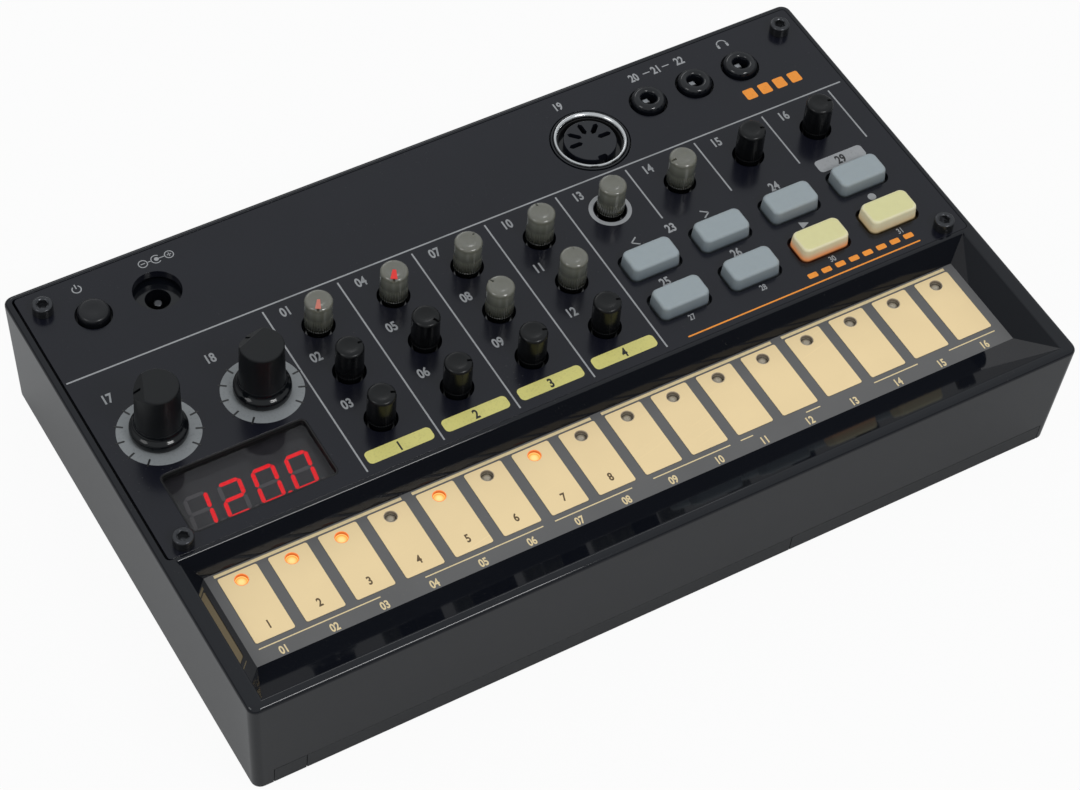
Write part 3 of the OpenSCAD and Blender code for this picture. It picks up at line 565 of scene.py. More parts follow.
class Finishes:
    """The materials of the whole machine, each built once."""

    case = Moulding("case_gloss", srgb(15, 17, 23), 0.045, scratches=0.1, dust=0.05, ior=1.395)
    bottom = Moulding("bottom_matte", srgb(34, 35, 38), 0.52, grain=0.02, grain_size=0.35)
    panel = Moulding(
        "panel_satin", srgb(15, 16, 25), 0.2, grain=0.003, grain_size=0.3, dust=0.06, ior=1.41
    )
    key_plate = Moulding(
        "key_plate", srgb(93, 92, 92), 0.36, grain=0.004, grain_size=0.3, dust=0.1
    )
    key = Moulding(
        "key_cream",
        srgb(240, 213, 163),
        0.3,
        drift=0.05,
        grain=0.003,
        grain_size=0.4,
        scratches=0.12,
    )
    window = SmokedSheet("display_tint", srgb(12, 12, 15), 0.3)
    display = Moulding("display_face", srgb(67, 64, 70), 0.75, drift=0.06)
    ghost = Moulding("segment_dark", srgb(116, 110, 115), 0.4, drift=0.06)
    segment = Glow("segment_lit", (1.0, 0.0, 0.014), (0.9, 0.0, 0.006), 1.13, 28.2, 28.6)
    # Painted shade: plain black for linings that darken a gap or a recess.
    gasket = Moulding("painted_shade_black", srgb(9, 9, 10), 0.6)
    board = Board("board_green", srgb(20, 70, 45), srgb(34, 98, 62))
    nylon = Moulding("black_nylon", srgb(32, 32, 34), 0.5, grain=0.01)
    steel = Metal("speaker_steel", srgb(150, 152, 156), 0.36)
    paper = Moulding(
        "paper_cone", srgb(48, 47, 49), 0.85, drift=0.2, drift_size=1.2, grain=0.05, grain_size=0.4
    )
    spring = Metal("spring_steel", srgb(196, 198, 202), 0.26)
    leaf = Metal("leaf_steel", srgb(150, 152, 155), 0.36)
    sleeve = Sleeve("cell_sleeve", srgb(62, 100, 140), srgb(206, 182, 96))
    socket = Moulding("socket_black", srgb(13, 15, 20), 0.12, scratches=0.1)
    contact = Moulding("contact_block", srgb(17, 19, 26), 0.34, grain=0.005)
    ring = Metal("bright_ring", srgb(206, 207, 208), 0.16, brushed=(1.0, 1.0, 1.0))
    screw = Metal("black_screw", srgb(68, 69, 72), 0.2, metallic=0.8, tarnish=0.4)
    foot = Moulding("foot_rubber", srgb(33, 33, 34), 0.82, grain=0.03, grain_size=0.3, sheen=0.2)
    pot = Moulding("pot_body", srgb(34, 36, 38), 0.5, grain=0.01)
    pin = Metal("socket_pin", srgb(98, 99, 102), 0.34, brushed=(1.0, 1.0, 1.0), tarnish=0.6)
    knob = Moulding("knob_black", srgb(8, 9, 11), 0.26, drift=0.1, grain=0.002, ior=1.36)
    dial = Moulding(
        "dial_black",
        srgb(10, 12, 15),
        0.42,
        grain=0.003,
        grain_size=0.2,
        ior=1.37,
        polish_under=35.2,
    )
    power = Moulding("power_black", srgb(14, 15, 19), 0.3, drift=0.1, grain=0.003, ior=1.4)
    smoky = Layered(
        "knob_smoky",
        # Painted shade: black on the hub below the shoulder (partly the dark bushing, partly the
        # hole's shade), darker towards the foot and at 36 mm; painted highlight bands at 35.2 and
        # 38.2 mm.
        layers(
            (29.8, 8, 8, 8),
            (31.9, 9, 9, 8),
            (32.05, 42, 42, 36),
            (33.4, 74, 75, 66),
            (35.2, 104, 105, 95),
            (36.0, 86, 87, 79),
            (38.2, 114, 115, 105),
            (39.5, 98, 97, 87),
        ),
        0.2,
        cloud=0.08,
        subsurface=0.4,
        coat=1.0,
    )
    grey_button = Layered(
        "button_grey",
        # Painted shade and light: the sides darken towards the foot, nearly black where the cap
        # sinks into the panel, and the top is painted lighter than the sides.
        layers((30.9, 40, 46, 50), (31.5, 118, 128, 135), (34.1, 150, 159, 163)),
        0.46,
        sheen=0.1,
        grain=0.005,
    )
    # Both lit buttons: painted shade at the foot, where the cap sinks into the panel, and the
    # orange near the foot is painted light from the lamp under the cap; the glow is that lamp's
    # light.
    lit_button = Layered(
        "button_lit",
        layers((30.9, 40, 24, 14), (31.5, 214, 150, 100), (33.1, 214, 204, 170)) + LIT_TOP_HIGHLIGHT,
        0.42,
        glow=((30.9, (0.02, 0.0, 0.0)), (31.5, (1.0, 0.3, 0.08)), (32.9, (0.5, 0.34, 0.2)))
        + GLOW_TOP,
        glow_strength=0.3,
        grain=0.005,
    )
    pale_button = Layered(
        "button_lit_pale",
        layers((30.9, 40, 34, 24), (31.5, 206, 190, 150), (33.1, 216, 209, 178)) + LIT_TOP_HIGHLIGHT,
        0.42,
        glow=((30.9, (0.02, 0.01, 0.0)), (31.5, (0.5, 0.32, 0.16)), (32.9, (0.4, 0.34, 0.22)))
        + GLOW_TOP,
        glow_strength=0.3,
        grain=0.005,
    )
    lamp = Layered(
        "lamp_lit",
        layers((24.9, 150, 70, 28), (26.2, 150, 70, 30)),
        0.25,
        # The dome's glow is the lamp itself; from 25.5 mm up the collar glows as painted light of
        # the lamp on the wall of its hole.
        glow=(
            (24.9, (1.0, 0.34, 0.06)),
            (25.2, (1.0, 0.44, 0.1)),
            (25.46, (1.0, 0.86, 0.33)),
            (25.5, (0.45, 0.08, 0.01)),
            (25.95, (0.3, 0.05, 0.01)),
            (26.2, (0.8, 0.2, 0.04)),
        ),
        glow_strength=0.95,
    )
    lamp_off = Layered(
        "lamp_dark",
        # Painted shade: the dome darkens towards its rim and the collar darkens down into the hole,
        # lightest at its top edge.
        layers(
            (24.9, 100, 92, 82),
            (25.15, 136, 126, 112),
            (25.45, 172, 162, 144),
            (25.5, 116, 104, 92),
            (25.9, 138, 124, 106),
            (26.2, 188, 170, 144),
        ),
        0.3,
        coat=0.3,
    )
    grey_ink = Ink("print_grey", srgb(150, 151, 153), BLACK_UNDER)
    dark_ink = Ink("print_dark", srgb(16, 16, 18), srgb(40, 40, 38))
    brown_ink = Ink("print_brown", srgb(92, 72, 44), srgb(150, 130, 96))
    orange_ink = Ink("print_orange", srgb(240, 146, 40), BLACK_UNDER)
    yellow_ink = Ink("print_yellow", srgb(206, 198, 116), BLACK_UNDER)
    cream_ink = Ink("print_cream", srgb(226, 204, 158), srgb(96, 95, 95))
    red_ink = Ink("print_red", srgb(226, 40, 34), KNOB_UNDER)
    salmon_ink = Ink("print_salmon", srgb(196, 112, 96), KNOB_UNDER)
    ring_ink = Ink("print_ring", srgb(128, 131, 133), BLACK_UNDER)

    def __init__(self) -> None:
        """Starts with no material built."""
        self.built: dict[str, bpy.types.Material] = {}

    def get(self, finish: Finish) -> bpy.types.Material:
        """Builds the material of a finish at its first use.

        Args:
            finish: One of the finishes.

        Returns:
            Its material.
        """
        if finish.name not in self.built:
            self.built[finish.name] = finish.material()
        return self.built[finish.name]


FINISHES = Finishes()


# ---- modelling helpers ----


def metres(*values: float) -> Vector:
    """Returns millimetres as a vector in metres."""
    return Vector(values) * MM


def deselect_all() -> None:
    """Leaves every object deselected, with none active."""
    bpy.ops.object.select_all(action="DESELECT")
    bpy.context.view_layer.objects.active = None


def activate(piece: bpy.types.Object) -> None:
    """Makes one piece the only selected object, and the active one."""
    deselect_all()
    piece.select_set(True)
    bpy.context.view_layer.objects.active = piece


def settle(name: str) -> bpy.types.Object:
    """Names the new primitive and moves its place and size into its mesh.

    Args:
        name: Its name.

    Returns:
        The primitive.
    """
    piece = bpy.context.object
    piece.name = name
    bpy.ops.object.transform_apply(location=True, rotation=True, scale=True)
    return piece


def blank_block(name: str, low: Corner, high: Corner) -> bpy.types.Object:
    """Adds a cube primitive between two corners.

    Args:
        name: Name of the new object.
        low: Lowest corner.
        high: Highest corner.

    Returns:
        The new object.
    """
    deselect_all()
    middle = metres(*((a + b) / 2 for a, b in zip(low, high)))
    size = metres(*(b - a for a, b in zip(low, high)))
    bpy.ops.mesh.primitive_cube_add(size=1, location=middle, scale=size)
    return settle(name)


def blank_rod(
    name: str, at: Spot, low: float, high: float, radius: float, sides: int = 64
) -> bpy.types.Object:
    """Adds an upright cylinder primitive.

    Args:
        name: Name of the new object.
        at: Its axis, as x and y.
        low: Height of its underside.
        high: Height of its top.
        radius: Its radius.
        sides: Number of its sides.

    Returns:
        The new object.
    """
    deselect_all()
    middle = metres(at[0], at[1], (low + high) / 2)
    bpy.ops.mesh.primitive_cylinder_add(
        vertices=sides, radius=radius * MM, depth=(high - low) * MM, location=middle
    )
    return settle(name)


class Bench:
    """An edit-mode session on one mesh, in millimetres."""

    def __init__(self, piece: bpy.types.Object) -> None:
        """Keeps the piece that is worked on."""
        self.piece = piece

    def __enter__(self) -> "Bench":
        """Opens edit mode with nothing selected.

        Returns:
            The bench.
        """
        activate(self.piece)
        bpy.ops.object.mode_set(mode="EDIT")
        bpy.ops.mesh.select_mode(type="FACE")
        bpy.ops.mesh.select_all(action="DESELECT")
        return self

    def __exit__(self, *problem: object) -> None:
        """Goes back to object mode."""
        bpy.ops.object.mode_set(mode="OBJECT")

    def _select(self, kind: str, choose: Callable[[bmesh.types.BMesh], list]) -> "Bench":
        """Selects some faces or edges, and nothing else.

        Args:
            kind: FACE or EDGE.
            choose: Returns the chosen ones of the open mesh.

        Returns:
            The bench, for the next step.
        """
        bpy.ops.mesh.select_mode(type=kind)
        bpy.ops.mesh.select_all(action="DESELECT")
        mesh = bmesh.from_edit_mesh(self.piece.data)
        for part in choose(mesh):
            part.select_set(True)
        bmesh.update_edit_mesh(self.piece.data)
        return self

    def faces(self, test: Test) -> "Bench":
        """Selects the faces whose centre and normal pass a test."""
        return self._select(
            "FACE",
            lambda mesh: [f for f in mesh.faces if test(f.calc_center_median() / MM, f.normal)],
        )

    def edges(self, test: Test) -> "Bench":
        """Selects the edges whose two ends pass a test."""
        return self._select(
            "EDGE",
            lambda mesh: [e for e in mesh.edges if test(*(end.co / MM for end in e.verts))],
        )

    def everything(self) -> "Bench":
        """Selects the whole mesh."""
        bpy.ops.mesh.select_all(action="SELECT")
        return self

    def raise_by(self, rise: float) -> "Bench":
        """Extrudes the selected faces straight up, or down for a negative rise."""
        bpy.ops.mesh.extrude_region_move(
            TRANSFORM_OT_translate={"value": (0, 0, rise * MM), "orient_type": "GLOBAL"}
        )
        return self

    def resize(self, factor: Corner, about: Corner) -> "Bench":
        """Scales the selection about a point."""
        bpy.ops.transform.resize(value=factor, center_override=metres(*about))
        return self

    def move(self, step: Corner) -> "Bench":
        """Moves the selection."""
        bpy.ops.transform.translate(value=metres(*step))
        return self

    def inset(self, width: float, depth: float = 0.0, each: bool = False) -> "Bench":
        """Insets the selected faces, together or each on its own."""
        bpy.ops.mesh.inset(thickness=width * MM, depth=depth * MM, use_individual=each)
        return self

    def bevel(self, width: float, segments: int = 4) -> "Bench":
        """Rounds the selected edges."""
        settings = {"offset": width * MM, "offset_type": "OFFSET", "segments": segments}
        bpy.ops.mesh.bevel(**settings, profile=0.5, affect="EDGES")
        return self

    def slice_off(self, point: Corner, normal: Corner) -> "Bench":
        """Cuts off what lies outside a plane and closes the cut.

        Args:
            point: A point of the plane.
            normal: Where the plane looks, which is outwards.

        Returns:
            The bench, for the next step.
        """
        self.everything()
        bpy.ops.mesh.bisect(
            plane_co=metres(*point),
            plane_no=normal,
            use_fill=True,
            clear_outer=True,
            threshold=1e-7,
        )
        return self


def upright(first: Vector, second: Vector) -> bool:
    """Tells whether an edge stands upright."""
    return abs(first.x - second.x) + abs(first.y - second.y) < 0.001


def facing_up(level: float) -> Test:
    """Returns a test for faces that look up at a height."""
    return lambda centre, normal: normal.z > 0.9 and abs(centre.z - level) < 0.01


def facing(way: Corner) -> Test:
    """Returns a test for faces that look one way."""
    return lambda centre, normal: normal.dot(Vector(way)) > 0.9


def rounded_slab(
    name: str, low: Corner, high: Corner, radius: float, segments: int = 6
) -> bpy.types.Object:
    """Models a slab with rounded upright corners.

    Args:
        name: Name of the new object.
        low: Lowest corner.
        high: Highest corner.
        radius: Radius of the upright corners.
        segments: Number of faces in each corner.

    Returns:
        The new object.
    """
    piece = blank_block(name, low, high)
    with Bench(piece) as bench:
        bench.edges(upright).bevel(radius, segments)
    return piece


def stepped(
    piece: bpy.types.Object, middle: Spot, half: Spot, level: float, steps: Sequence[Spot]
) -> None:
    """Raises the top of a slab through steps, each higher and further in.

    Args:
        piece: The slab, whose top lies at the level.
        middle: Middle of the slab, as x and y.
        half: Half its width and depth at the level.
        level: Height of its top.
        steps: For each step, its height and its distance in from the edge.
    """
    width, depth = half
    with Bench(piece) as bench:
        bench.faces(facing_up(level))
        for height, inward in steps:
            bench.raise_by(height - level)
            factor = ((half[0] - inward) / width, (half[1] - inward) / depth, 1.0)
            bench.resize(factor, (middle[0], middle[1], height))
            width, depth, level = half[0] - inward, half[1] - inward, height


def turned(
    name: str,
    at: Spot,
    stations: Sequence[Spot],
    sides: int = 64,
    angle: Optional[float] = None,
) -> bpy.types.Object:
    """Models a round form by raising and resizing the end of a cylinder.

    Args:
        name: Name of the new object.
        at: Its axis, as x and y.
        stations: Radius and height of each ring. The first lies under the second.
        sides: Number of its sides.
        angle: Sharpest angle that is shaded smooth, or none for a form that is shaded later.

    Returns:
        The new object.
    """
    (radius, low), (second, high) = stations[0], stations[1]
    piece = blank_rod(name, at, low, high, radius, sides)
    with Bench(piece) as bench:
        bench.faces(facing_up(high))
        bench.resize((second / radius, second / radius, 1.0), (at[0], at[1], high))
        radius, level = second, high
        for width, height in stations[2:]:
            bench.raise_by(height - level)
            bench.resize((width / radius, width / radius, 1.0), (at[0], at[1], height))
            radius, level = width, height
    if angle is not None:
        smooth(piece, angle)
    return piece


def rounding(radius: float, level: float, size: float, steps: int = 5) -> list[Spot]:
    """Lists the stations of a rounded top edge.

    Args:
        radius: Radius of the form under the rounding.
        level: Height of its top.
        size: Radius of the rounding.
        steps: Number of stations.

    Returns:
        The radius and height of each station.
    """
    angles = [math.pi / 2 * i / steps for i in range(steps + 1)]
    return [(radius - size * (1 - math.cos(a)), level - size * (1 - math.sin(a))) for a in angles]


def use_modifier(piece: bpy.types.Object, kind: str, settings: dict) -> None:
    """Adds a modifier and applies it.

    Args:
        piece: The piece.
        kind: Blender's name of the modifier type.
        settings: Its settings.
    """
    activate(piece)
    modifier = piece.modifiers.new(kind.title(), kind)
    for key, value in settings.items():
        setattr(modifier, key, value)
    bpy.ops.object.modifier_apply(modifier=modifier.name)


def carve(piece: bpy.types.Object, *cutters: bpy.types.Object) -> None:
    """Cuts forms out of a piece, one after the other, and removes them.

    Args:
        piece: The piece.
        cutters: The forms.
    """
    for cutter in cutters:
        settings = {"operation": "DIFFERENCE", "solver": "EXACT", "object": cutter}
        use_modifier(piece, "BOOLEAN", settings)
        bpy.data.objects.remove(cutter, do_unlink=True)


def join(name: str, parts: Sequence[bpy.types.Object]) -> bpy.types.Object:
    """Joins several objects into one mesh.

    Args:
        name: Name of the joined piece.
        parts: The objects.

    Returns:
        The joined piece.
    """
    activate(parts[0])
    for part in parts:
        part.select_set(True)
    bpy.ops.object.join()
    parts[0].name = name
    return parts[0]


def soften(piece: bpy.types.Object, width: float, segments: int = 2, angle: float = 35.0) -> None:
    """Rounds the sharp edges of a piece and shades it smooth.

    Args:
        piece: The piece.
        width: Width of the rounding.
        segments: Number of its faces.
        angle: Least angle of a sharp edge, in degrees.
    """
    settings = {
        "width": width * MM,
        "segments": segments,
        "limit_method": "ANGLE",
        "angle_limit": math.radians(angle),
        "use_clamp_overlap": True,
    }
    use_modifier(piece, "BEVEL", settings)
    smooth(piece, 50.0)


def smooth(piece: bpy.types.Object, angle: float = 35.0) -> None:
    """Shades a piece smooth, and keeps its flat faces flat.

    Args:
        piece: The piece.
        angle: Sharpest angle that is shaded smooth, in degrees.
    """
    activate(piece)
    bpy.ops.object.shade_smooth_by_angle(angle=math.radians(angle))
    use_modifier(piece, "WEIGHTED_NORMAL", {"keep_sharp": True, "weight": 80})


def copied(
    model: bpy.types.Object, name: str, step: Corner, turn: float = 0.0
) -> bpy.types.Object:
    """Copies a model with a mesh of its own.

    Args:
        model: The model, built at the origin.
        name: Name of the copy.
        step: Where the copy goes.
        turn: How far it is turned about the Z axis first, in degrees.

    Returns:
        The copy.
    """
    piece = model.copy()
    piece.data = model.data.copy()
    piece.name = name
    bpy.context.scene.collection.objects.link(piece)
    turning = Matrix.Rotation(math.radians(turn), 4, "Z")
    piece.data.transform(Matrix.Translation(metres(*step)) @ turning)
    return piece


def spread(
    model: bpy.types.Object, name: str, steps: Sequence[Corner], turns: Sequence[float] = ()
) -> bpy.types.Object:
    """Copies a model to several places, joins the copies and removes the model.

    Args:
        model: The model, built at the origin.
        name: Name of the joined piece.
        steps: Where each copy goes.
        turns: How far each copy is turned first, in degrees, if they are turned.

    Returns:
        The joined piece.
    """
    turns = turns or [0.0] * len(steps)
    copies = [copied(model, name, step, turn) for step, turn in zip(steps, turns)]
    discard(model)
    return join(name, copies)


def discard(*models: bpy.types.Object) -> None:
    """Removes models that were only made to be copied."""
    for model in models:
        bpy.data.objects.remove(model, do_unlink=True)


def hand_over(
    piece: bpy.types.Object,
    name: str,
    body: str,
    finish: Finish,
    stands_for: Sequence[str] = (),
) -> None:
    """Dresses a finished piece and mounts it on its body.

    Args:
        piece: The finished piece.
        name: Its name.
        body: Name of the body that carries it.
        finish: Its finish.
        stands_for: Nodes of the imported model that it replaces.
    """
    piece.name = name
    piece.data.name = name
    piece.data.materials.clear()
    piece.data.materials.append(FINISHES.get(finish))
    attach(piece, body)
    if stands_for:
        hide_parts(*stands_for)
    LOG.info("%-22s %6d faces, rides on %s", name, len(piece.data.polygons), body)


# ---- levels and places ----

BASE_Z = 1.5
PANEL_Z = 29.5
TOP_Z = 31.5
FACE_Z = 31.4
BOARD_TOP = 21.2
PLATE_Z = 26.1
PAD_Z = 26.25
SOCKET_TOP = 29.3
OVERPRINT_Z = FACE_Z + 0.03

KEY_COUNT = 16
KEY_STEP = 11.02
FIRST_COLUMN_X = -41.6
COLUMN_STEP = 17.56
BACK_ROW_Y = 20.81
ROW_STEP = 13.68
KNOB_ROWS = (3, 3, 3, 3, 1, 1, 1, 1)
BUTTON_COLUMNS = 4
BUTTON_ROWS: Spot = (4.25, -7.65)
DIAL_PLACES: dict[str, Spot] = {"left_dial": (-82.6, 10.9), "right_dial": (-59.5, 10.9)}
POWER_PLACE: Spot = (-81.4, 44.3)
POWER_SOCKET: Spot = (-67.0, 44.3)
SMALL_SOCKETS: dict[str, Spot] = {
    "sync_in_jack": (52.4, 44.3),
    "sync_out_jack": (64.4, 44.3),
    "headphone_jack": (76.4, 44.3),
}
ROUND_SOCKET: Spot = (35.0, 40.1)
DISPLAY_LOW: Spot = (-87.7, -15.0)
DISPLAY_HIGH: Spot = (-55.3, 0.8)
DISPLAY_RADIUS = 1.3


def column_x(column: int) -> float:
    """Returns the x of a column of small knobs, counted from 1."""
    return FIRST_COLUMN_X + COLUMN_STEP * (column - 1)


def row_y(row: int) -> float:
    """Returns the y of a row of small knobs, counted from 1 at the back."""
    return BACK_ROW_Y - ROW_STEP * (row - 1)


def knob_places() -> Iterator[tuple[int, int]]:
    """Yields the column and the row of each small knob."""
    for column, count in enumerate(KNOB_ROWS, 1):
        for row in range(1, count + 1):
            yield column, row


def button_x(column: int) -> float:
    """Returns the x of a column of step buttons, counted from 1."""
    return column_x(column + len(KNOB_ROWS) - BUTTON_COLUMNS)


def key_x(index: int) -> float:
    """Returns the x of a touch key, counted from 0."""
    return (index - (KEY_COUNT - 1) / 2) * KEY_STEP


# ---- case ----


@dataclass
class Case:
    """The glossy upper shell, the bottom with its cover, the feet and the screws."""

    foot_half: Spot = (95.2, 56.2)
    rim_half: Spot = (96.5, 57.15)
    rim_middle: Spot = (0.0, -0.35)
    rim_z: float = 30.45
    corner_radius: float = 2.0
    inner_half: Spot = (93.0, 54.0)
    deck_z: float = 27.5
    pocket: Corner = (95.1, -18.7, 55.3)
    pocket_ledge: float = 4.0
    well_floor: Corner = (89.1, -45.4, -22.1)
    well_mouth: Corner = (93.2, -55.6, -19.4)
    well_wall: float = 2.0
    strip: Corner = (-91.25, 92.9, 6.35)
    foot_x: float = 88.65
    foot_rows: Spot = (-42.0, 44.0)
    foot_edge: tuple[Spot, ...] = ((3.0, 0.0), (3.35, 0.1), (3.6, 0.32), (3.72, 0.6), (3.75, 2.0))
    foot_dish: Spot = (2.9, 0.35)
    screw_x: float = 90.25
    screw_rows: Spot = (49.8, -16.0)
    screw_turns: tuple[float, ...] = (8.0, 31.0, 52.0, 17.0)
    screw_radius: float = 2.2
    screw_top: float = 33.9
    hex_radius: float = 1.22

    def build(self) -> None:
        """Builds the shell, the bottom, the feet and the screws."""
        self._shell()
        self._from_solid("bottom_case", "case")
        self._from_solid("battery_cover", "battery_cover")
        self._feet()
        self._panel_screws()

    def _well_form(self, name: str, grow: float, sink: float) -> bpy.types.Object:
        """Models the sloping keyboard well.

        Args:
            name: Name of the new object.
            grow: How far its walls are moved out.
            sink: How far it reaches below the keyboard plate's top.

        Returns:
            The new object.
        """
        (x0, front0, back0), (x1, front1, back1) = self.well_floor, self.well_mouth
        low, high = PLATE_Z - sink, TOP_Z + 0.5
        run = (high - PLATE_Z) / (TOP_Z - PLATE_Z)
        half = x0 + (x1 - x0) * run + grow
        front = front0 + (front1 - front0) * run - grow
        back = back0 + (back1 - back0) * run + grow
        corners = (-x0 - grow, front0 - grow, low), (x0 + grow, back0 + grow, PLATE_Z)
        form = blank_block(name, *corners)
        with Bench(form) as bench:
            bench.faces(facing_up(PLATE_Z)).raise_by(high - PLATE_Z)
            depth = (back - front) / (back0 - front0 + 2 * grow)
            middle = (front0 + back0) / 2
            bench.resize((half / (x0 + grow), depth, 1.0), (0.0, middle, high))
            bench.move((0.0, (front + back) / 2 - middle, 0.0))
        return form

    def _shell(self) -> None:
        """Models the upper shell: leaning walls, a rounded rim, the well and the panel pocket."""
        x0, y0 = self.foot_half
        x1, y1 = self.rim_half
        low, high = (-x0, -y0, BASE_Z), (x0, y0, self.rim_z)
        shell = rounded_slab("top_case", low, high, self.corner_radius)
        with Bench(shell) as bench:
            bench.faces(facing_up(self.rim_z))
            bench.resize((x1 / x0, y1 / y0, 1.0), (0.0, 0.0, self.rim_z))
            bench.move((*self.rim_middle, 0.0))
        steps = rounding(0.0, TOP_Z, TOP_Z - self.rim_z, 9)[1:]
        rim = [(height, -width) for width, height in steps]
        stepped(shell, self.rim_middle, self.rim_half, self.rim_z, rim)
        x, y = self.inner_half
        hollow = blank_block("hollow", (-x, -y, 0.0), (x, y, self.deck_z))
        carve(hollow, self._well_form("well_wall", self.well_wall, 0.02))
        half, front, back = self.pocket
        inner, ledge = half - self.pocket_ledge, self.pocket_ledge
        carve(
            shell,
            hollow,
            self._well_form("well", 0.0, 0.5),
            rounded_slab("pocket", (-half, front, PANEL_Z), (half, back, 34.0), 1.0, 4),
            blank_block("opening", (-inner, front + ledge / 2, 26.0), (inner, back - ledge, 30.0)),
        )
        with Bench(shell) as bench:
            bench.edges(self._at_mouth).bevel(0.35, 3)
        left, right, high = self.strip
        carve(shell, blank_block("strip", (left, -59.0, 0.0), (right, -53.0, high)))
        soften(shell, 0.14, 2, 20.0)
        hand_over(shell, "case_shell", "case", FINISHES.case, ["top_case"])

    def _at_mouth(self, *ends: Vector) -> bool:
        """Looks for the edges of the well's mouth.

        Args:
            ends: The two ends of an edge.

        Returns:
            Whether both lie on the mouth.
        """
        half, front, back = self.well_mouth
        front, back = front - 0.1, back + 0.1
        return all(
            end.z > TOP_Z - 0.01 and abs(end.x) < half + 0.1 and front < end.y < back
            for end in ends
        )

    @staticmethod
    def _from_solid(node: str, body: str) -> None:
        """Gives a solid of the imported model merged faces, rounded edges and its finish.

        Args:
            node: Name of the node.
            body: Body that carries it.
        """
        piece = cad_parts[node].copy()
        piece.data = piece.data.copy()
        piece.parent = None
        bpy.context.scene.collection.objects.link(piece)
        with Bench(piece) as bench:
            bench.everything()
            bpy.ops.mesh.remove_doubles(threshold=1e-6)
            bpy.ops.mesh.dissolve_limited(angle_limit=math.radians(0.5))
        soften(piece, 0.18, 2, 40.0)
        hand_over(piece, f"{node}_finished", body, FINISHES.bottom, [node])

    def _feet(self) -> None:
        """Models one soft foot with a dished sole and copies it to its four places."""
        radius, depth = self.foot_dish
        foot = turned("foot", (0.0, 0.0), self.foot_edge, 48)
        carve(foot, blank_rod("dish", (0.0, 0.0), -1.0, depth, radius, 48))
        smooth(foot, 40.0)
        steps = [(x, y, 0.0) for y in self.foot_rows for x in (-self.foot_x, self.foot_x)]
        feet = spread(foot, "feet", steps)
        hand_over(
            feet, "rubber_feet_finished", "case", FINISHES.foot, ["rubber_feet"]
        )

    def _panel_screws(self) -> None:
        """Models one socket-head screw and copies it to the panel's corners."""
        low, radius, bore = FACE_Z - 0.05, self.screw_radius, self.hex_radius
        stations = [(1.2, 25.0), (1.2, low), (radius - 0.06, low), (radius, FACE_Z + 0.1)]
        screw = turned(
            "screw", (0.0, 0.0), stations + rounding(radius, self.screw_top, 0.45, 4), 48
        )
        carve(
            screw,
            blank_rod("hex", (0.0, 0.0), 32.5, 36.0, bore, 6),
            turned("dimple", (0.0, 0.0), [(bore, 33.72), (1.45, 34.0), (1.45, 34.3)], 48),
        )
        soften(screw, 0.07, 2, 40.0)
        steps = [(x, y, 0.0) for y in self.screw_rows for x in (-self.screw_x, self.screw_x)]
        screws = spread(screw, "screws", steps, self.screw_turns)
        hand_over(
            screws, "panel_screws_finished", "case", FINISHES.screw, ["panel_screws"]
        )


# ---- panel ----


@dataclass
class ControlPanel:
    """The flat satin panel with its openings."""

    low: Spot = (-94.55, -18.55)
    high: Spot = (95.09, 55.29)
    corner_radius: float = 0.9
    power_hole: float = 3.9
    power_socket_hole: float = 5.2
    small_socket_hole: float = 4.3
    round_socket_hole: float = 8.95
    dial_hole: float = 4.1
    knob_hole: float = 3.5
    button_half: Spot = (6.55, 3.9)
    button_radius: float = 2.0

    def build(self) -> None:
        """Builds the panel and cuts its openings."""
        corners = (*self.low, PANEL_Z), (*self.high, FACE_Z)
        panel = rounded_slab("panel", *corners, self.corner_radius, 4)
        round_holes = [
            (POWER_PLACE, self.power_hole),
            (POWER_SOCKET, self.power_socket_hole),
            *((place, self.small_socket_hole) for place in SMALL_SOCKETS.values()),
            (ROUND_SOCKET, self.round_socket_hole),
            *((place, self.dial_hole) for place in DIAL_PLACES.values()),
            *(((column_x(column), row_y(row)), self.knob_hole) for column, row in knob_places()),
        ]
        cutters = [
            blank_rod("round_opening", place, PANEL_Z - 1, FACE_Z + 1, radius, 72)
            for place, radius in round_holes
        ]
        half_x, half_y = self.button_half
        for column in range(1, BUTTON_COLUMNS + 1):
            for y in BUTTON_ROWS:
                x = button_x(column)
                low, high = (x - half_x, y - half_y), (x + half_x, y + half_y)
                cutters.append(self._slot(low, high, self.button_radius))
        cutters.append(self._slot(DISPLAY_LOW, DISPLAY_HIGH, DISPLAY_RADIUS))
        carve(panel, join("openings", cutters))
        soften(panel, 0.1, 2, 35.0)
        hand_over(
            panel, "panel_finished", "case", FINISHES.panel, ["control_panel"]
        )

    @staticmethod
    def _slot(low: Spot, high: Spot, radius: float) -> bpy.types.Object:
        """Makes the cutter of a rounded opening."""
        return rounded_slab("slot_opening", (*low, PANEL_Z - 1), (*high, FACE_Z + 1), radius, 8)


# ---- keyboard ----


